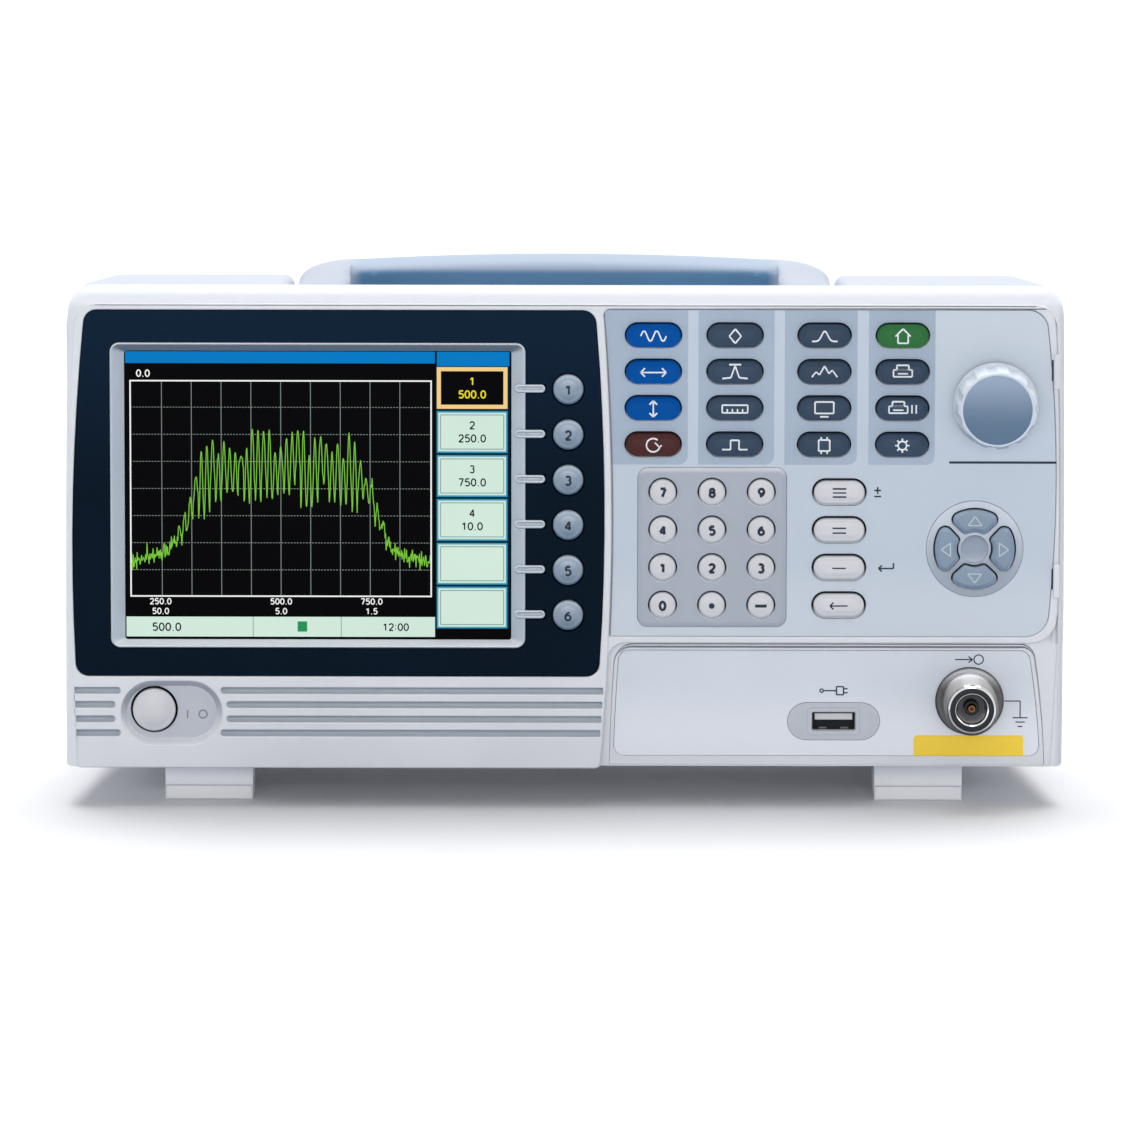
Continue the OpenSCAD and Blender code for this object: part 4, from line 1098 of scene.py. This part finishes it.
def make_keys():
    panel = face_of("keypad_panel")
    shades = {"11": BLUE_KEY, "12": BLUE_KEY, "13": BLUE_KEY, "14": MAROON_KEY, "41": GREEN_KEY}
    for code, lines in pictograms().items():
        node = "function_key_" + code
        cap(node, long_key(node), panel + 2.4, shades.get(code, SLATE_KEY), 0.9, 0.4, 2.6)
        drawn = placed(middle(node), lines, 1.25)
        strokes(node + "_mark", drawn, 0.5, face_of(node) + 0.02, PALE_INK, node)

    names = ("789", "456", "123", "0.-")
    for r in range(4):
        for c in range(3):
            node, name = f"number_key_{r + 1}{c + 1}", names[r][c]
            at, d0 = middle(node), face_of(node)
            cap(node, round_key(node), panel + 2.2, WHITE_KEY, 1.2, 0.6, 3.7)
            if name in ".-":
                shape = circle(*at, 0.85, 24) if name == "." else round_box(about(*at, 3.4, 0.9), 0.1, 2)
                plate(node + "_mark", [shape], d0 - 0.04, d0 + 0.2, 0.01, INK, node)
            else:
                figures(node + "_mark", name, at, 2.4, d0 + 0.02, INK, node, 0.34)

    bars = [[[(-2, h), (2, h)] for h in heights] for heights in ((1.2, 0, -1.2), (0.7, -0.7), (0,))]
    arrow = [[(-2.6, 0), (2.6, 0)], [(-1.6, 1), (-2.6, 0), (-1.6, -1)]]
    for i, lines in enumerate(bars + [arrow], 1):
        node = f"unit_key_{i}"
        cap(node, long_key(node), panel + 2.4, WHITE_KEY, 1.1, 0.5, 2.8)
        strokes(node + "_mark", placed(middle(node), lines), 0.5, face_of(node) + 0.02, INK, node)

    for i in range(1, 7):
        node = f"soft_key_{i}"
        cap(node, round_key(node, 0.3, 48), extent("display_frame")[5] + 0.8, SOFT_KEY, 1.3, 0.8, 3.9)
        figures(node + "_mark", str(i), middle(node), 2.5, face_of(node) + 0.02, INK, node, 0.28)

    for turn, way in ((0, "right"), (90, "up"), (180, "left"), (270, "down")):
        node = "arrow_key_" + way
        cap(node, fan(turn), panel + 2.4, ARROW_KEY, 0.75, 0.3, 1.1)
        mark = on_pad([(9.9, 0), (7.2, 2), (7.2, -2), (9.9, 0)], turn)
        strokes(node + "_mark", [mark], 0.4, face_of(node) - 0.02, MARK, node)

    ring = circle(*middle("power_button"), radius_of("power_button") - 0.1)
    cap("power_button", ring, POWER_FLOOR + 0.1, WHITE_KEY, 0.7, 1.7, 6.2)


# Knob, connector and socket


def make_knob():
    at = middle("knob")
    r, d0 = radius_of("knob"), face_of("knob")
    scallops = 11

    def scallop(q, d, a):
        depth = 0.85 * max(0.0, min(1.0, (d - d0 - 0.2) / 0.7)) * max(0.0, min(1.0, (-1.4 - d) / 0.8))
        return q - depth * max(0.0, math.cos(scallops * a)) ** 0.7

    profile = [(r - 0.2, 0.5), (r + 0.5, 0.3), (r + 0.6, -0.6), (r + 0.4, -1.2), (r + 0.1, -1.4), (r, -2.4)]
    profile += [(mix(r, r - 0.25, t / 4), mix(-3, d0 + 3, t / 4)) for t in range(5)]
    profile += [(r - 0.3, d0 + 1.6), (r - 0.4, d0 + 0.9), (r - 0.7, d0 + 0.5), (r - 1.1, d0 + 0.2),
                (r - 1.5, d0), (r - 1.8, d0 + 0.1)]
    body = turned("knob_body", at, profile, KNOB_BODY, "knob", 176, scallop, (True, False), 50)
    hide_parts("knob")
    face = [(r - 1.8, d0 + 1), (r - 1.8, d0 + 0.1), (r - 2.1, d0 + 0.02), (5, d0 + 0.2), (0.4, d0 + 0.25)]
    turned("knob_face", at, face, KNOB_FACE, "knob", 96)


def make_connector():
    at = middle("rf_connector")
    r, d0 = radius_of("rf_connector"), face_of("rf_connector")
    seat = IO_LEVEL + 0.55
    flange = [(r - 1, seat + 0.4), (r, seat), (r, 3.2), (r - 0.35, 2.85), (7.2, 2.8)]
    body = turned("connector_flange", at, flange, NICKEL, sharp=30)
    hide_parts("rf_connector")
    barrel = [(7.9, 3.2), (7.9, 0.5), (7.1, 0.0), (7.1, -1.2)]
    pitch, crest, root = 1.06, 7.94, 7.3
    d = -1.4
    while d > d0 + 2.2:
        barrel += [(crest, d - 0.2), (crest, d - 0.38), (root, d - 0.7), (root, d - 0.86)]
        d -= pitch
    barrel += [(7.0, d - 0.2), (7.0, d0 + 0.9)]
    turned("connector_barrel", at, barrel, THREAD, caps=(True, False), sharp=25)
    within = (
        ("chamfer", BRIGHT, OPEN, 38, [(7.0, 1), (7.0, 0.55), (6.5, 0.02)]),
        ("nose", NOSE, OPEN, 25, [(6.5, 0.02), (6.4, 0), (4.8, 0), (4.8, 0.6)]),
        ("ring", BRIGHT, OPEN, 25, [(4.95, 0.3), (4.9, -0.02), (4.8, -0.02), (4.5, 0.3)]),
        ("mouth", NOSE, OPEN, 38, [(4.5, 0.3), (4.3, 2.4)]),
        ("bore", BORE, (False, True), 40, [(4.3, 2.4), (3.9, 8.5), (0.5, 8.6)]),
        # The sleeve and the pin's hole are near-black as painted shade.
        ("sleeve", HOLE_SHADE, (True, True), 38, [(2.2, 9), (2.2, 4.2), (2.0, 4), (1.4, 4), (1.3, 9)]),
        ("pin", GOLD, (True, False), 38, [(1.2, 9), (1.2, 2.6), (1.0, 2.3), (0.6, 2.3), (0.55, 2.6)]),
        ("socket", HOLE_SHADE, (True, True), 38, [(0.55, 2.6), (0.1, 2.7)]),
    )
    for name, mat, caps, sharp, profile in within:
        from_nose = [(q, d0 + deep) for q, deep in profile]
        turned("connector_" + name, at, from_nose, mat, caps=caps, sharp=sharp)


def make_socket():
    box, d0 = box_of("usb_port"), face_of("usb_port")
    rings = [at_depth(round_box(grow(box, -g), r, 4), d0 + deep) for g, r, deep in
             ((0, 0.5, 8), (0, 0.5, 0.12), (0.1, 0.45, 0), (0.35, 0.3, 0.05), (0.4, 0.3, 8))]
    shell = loft("socket_shell", rings, STEEL, loop=True)
    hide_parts("usb_port")
    cx, cz = middle("usb_port")
    plate("socket_back", [round_box(grow(box, -0.3), 0.3, 3)], d0 + 7, d0 + 8, 0.05, GAP)
    tongue = round_box(about(cx, cz + 1.2, 11.2, 1.9), 0.2, 3)
    plate("socket_tongue", [tongue], d0 + 0.9, d0 + 7.5, 0.15, WHITE_KEY)
    for i, x in enumerate((-3.2, 3.2)):
        spring = round_box(about(cx + x, cz - 2.2, 2.4, 0.5), 0.1, 2)
        plate(f"socket_spring_{i}", [spring], d0 + 1.2, d0 + 3, 0.05, STEEL)


# Rear cover, handle and the CAD nodes that stay


def dress(node, mat, width):
    """Keeps a CAD node, with its arrises rounded and its own finish."""
    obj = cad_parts[node]
    obj.data.materials.clear()
    obj.data.materials.append(mat)
    weld = obj.modifiers.new("weld", "WELD")
    weld.merge_threshold = 0.01 * MM
    bevel = obj.modifiers.new("bevel", "BEVEL")
    bevel.width = width * MM
    bevel.segments = 2
    bevel.limit_method = "ANGLE"
    bevel.angle_limit = math.radians(35)
    bevel.harden_normals = True


def make_rear():
    dress("rear_cover", FOOT, 0.8)
    for side in ("left", "right"):
        dress("tilt_leg_" + side, FOOT, 0.4)
        x = FOOT_X if side == "right" else -FOOT_X
        toe = (x - FOOT_W / 2 + 0.15, 0.1, x + FOOT_W / 2 - 0.15, FOOT_CREASE_Z)
        plate("foot_toe_" + side, [round_box(toe, 0.2, 2)], FOOT_D - 0.45, FOOT_D + 0.6, 0.3, FOOT)
    dress("case_screws", SCREW, 0.2)
    dress("power_supply", SUPPLY, 0.3)
    for node in ("keypad_board", "main_board"):
        dress(node, BOARD, 0.1)
    dress("lcd_module", GAP, 0.3)


def make_handle():
    """A bail: two arms on trunnions, joined by a crowned grip with a scooped front."""
    high = extent("handle")[3]
    swing = [(PIVOT[0] + PIVOT_R * math.cos(a), PIVOT[1] + PIVOT_R * math.sin(a)) for a in
             (math.radians(270 - 45 * i) for i in range(5))]

    def crown(x):
        """Height of the top: a slight arch that falls off in a round shoulder at each end."""
        shoulder = 60
        bend = min(1, abs(x) / shoulder) ** 2
        drop = max(0.0, (abs(x) - shoulder) / (HANDLE_X - shoulder)) ** 2.4
        return high - 1.65 * bend - 7.5 * (1 - max(0.0, 1 - drop) ** 0.45)

    def section(x, arm):
        """Outline of an arm or of the grip at x, from its underside round the front to the back."""
        top, back = crown(x), GRIP_D[1]
        if arm:
            inner = min(1, max(0, HANDLE_OPEN_X + 3 - abs(x)) / 3)
            dip = 3 * (1 - math.sqrt(1 - inner * inner))
            front = [(d, z - dip * max(0, z - PIVOT[1]) / PIVOT_R) for d, z in swing]
            for t in (0.35, 0.7, 1):
                rise = mix(swing[-1][1], top - 0.2, t)
                front.append((mix(PIVOT[0], back - 15, t), rise - dip * (1 - t)))
        else:
            bend = max(0.0, abs(x) - HANDLE_OPEN_X + HANDLE_CORNER_R) / HANDLE_CORNER_R
            f = GRIP_D[0] - HANDLE_CORNER_R * (1 - math.sqrt(max(0.0, 1 - bend * bend)))
            scoop = [(f, HANDLE_UNDER_Z), (f + 1.4, 144), (f + 1.9, 146.5), (f + 1.3, 149)]
            front = scoop + [(f + 0.9, top - 4), (f + 1.9, top - 2.3), (f + 4, top - 1), (f + 8, top - 0.2)]
        rear = [(back - g, mix(top, HANDLE_UNDER_Z, t)) for g, t in
                ((8, 0), (4, 0.07), (1, 0.25), (0, 0.5), (0, 0.72), (1.2, 0.92), (4, 1))]
        low = PIVOT[1] - PIVOT_R
        return [(x, max(low, min(z, top)), d) for d, z in front + rear]

    arm_x = [HANDLE_X - g for g in (0, 0.3, 1, 2.2, 4)] + [74, 71, 68, 66, HANDLE_OPEN_X]
    for side, s in (("left", -1), ("right", 1)):
        loft("handle_arm_" + side, [section(s * x, True) for x in arm_x], HANDLE, "handle", sharp=50)
        trunnion = [[(s * x, z, d) for d, z in circle(*PIVOT, 3, 32)] for x in (HANDLE_X - 2, HANDLE_X + 4)]
        loft("handle_pin_" + side, trunnion, HANDLE, "handle")
    half = [HANDLE_OPEN_X * math.sin(math.radians(90 * i / 24)) for i in range(25)]
    across = [-x for x in half[:0:-1]] + half
    grip = loft("handle_grip", [section(x, False) for x in across], GRIP_SHADE, "handle", sharp=50)
    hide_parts("handle")


# Studio


def make_studio():
    scene = bpy.context.scene
    camera = bpy.data.objects.new("camera", bpy.data.cameras.new("camera"))
    scene.collection.objects.link(camera)
    camera.data.lens = LENS
    camera.data.sensor_width = 36
    camera.data.clip_end = 100
    camera.location = (EYE[0] * MM, (FRONT + EYE[1]) * MM, EYE[2] * MM)
    down, roll = math.radians(90 - LOOK_DOWN), math.radians(ROLL)
    camera.rotation_euler = (Matrix.Rotation(down, 3, "X") @ Matrix.Rotation(roll, 3, "Z")).to_euler()
    scene.camera = camera

    floor = bpy.data.meshes.new("floor")
    s = 12.0
    floor.from_pydata([(-s, -s, 0), (s, -s, 0), (s, s, 0), (-s, s, 0)], [], [(0, 1, 2, 3)])
    floor.materials.append(finish("floor", "floor", (240, 240, 242), 0.9, 0.01, 0.0))
    ground = bpy.data.objects.new("floor", floor)
    scene.collection.objects.link(ground)

    def lamp(name, kind, power, at, aim):
        data = bpy.data.lights.new(name, kind)
        data.energy = power
        obj = bpy.data.objects.new(name, data)
        obj.location = at
        obj.rotation_euler = (Vector(aim) - Vector(at)).to_track_quat("-Z", "Y").to_euler()
        scene.collection.objects.link(obj)
        return data

    key = lamp("overhead", "SUN", 3.05, (0, 0.33, 1), (0, 0, 0))
    key.angle = math.radians(50)
    front = lamp("front_top", "SUN", 0.15, (0, -0.7, 1), (0, 0, 0))
    front.angle = math.radians(40)
    fill = lamp("front_low", "AREA", 31.5, (0, -3.4, 0.6), (0, 0, 0.06))
    fill.shape = "RECTANGLE"
    fill.size, fill.size_y = 3.0, 1.0

    world = bpy.data.worlds.new("studio")
    scene.world = world
    world.use_nodes = True
    tree = world.node_tree
    split = add(tree, "SeparateXYZ", {"Vector": add(tree, "TexCoord").outputs["Generated"]})
    sky = ramp(tree, split.outputs["Z"], (0.12, 0.122, 0.128, 1), (0.36, 0.366, 0.376, 1))
    aside = add(tree, "Math", {0: split.outputs["X"]})
    aside.operation = "ABSOLUTE"
    walls = ramp(tree, aside.outputs[0], (0, 0, 0, 1), (0.62, 0.625, 0.63, 1), 0.55)
    total = add(tree, "VectorMath", {0: sky, 1: walls})
    light = tree.nodes["Background"]
    feed(tree, light, {"Color": total.outputs["Vector"], "Strength": 1})
    path = add(tree, "LightPath").outputs
    shown = path["Is Camera Ray"]
    for ray in ("Is Glossy Ray", "Is Transmission Ray"):
        either = add(tree, "Math", {0: shown, 1: path[ray]})
        either.operation = "MAXIMUM"
        shown = either.outputs[0]
    white = add(tree, "Background", {"Color": (1, 1, 1, 1), "Strength": 1})
    blend = add(tree, "MixShader", {0: shown, 1: light.outputs[0], 2: white.outputs[0]})
    feed(tree, tree.nodes["World Output"], {"Surface": blend.outputs[0]})
    scene.view_settings.view_transform = "Standard"


make_lip()
make_display_section()
make_power_recess()
make_key_plateau()
make_input_section()
make_rim_tabs()
make_backing()
make_fields()
make_display()
make_screen()
make_films()
make_keys()
make_knob()
make_connector()
make_socket()
make_rear()
make_handle()
make_studio()
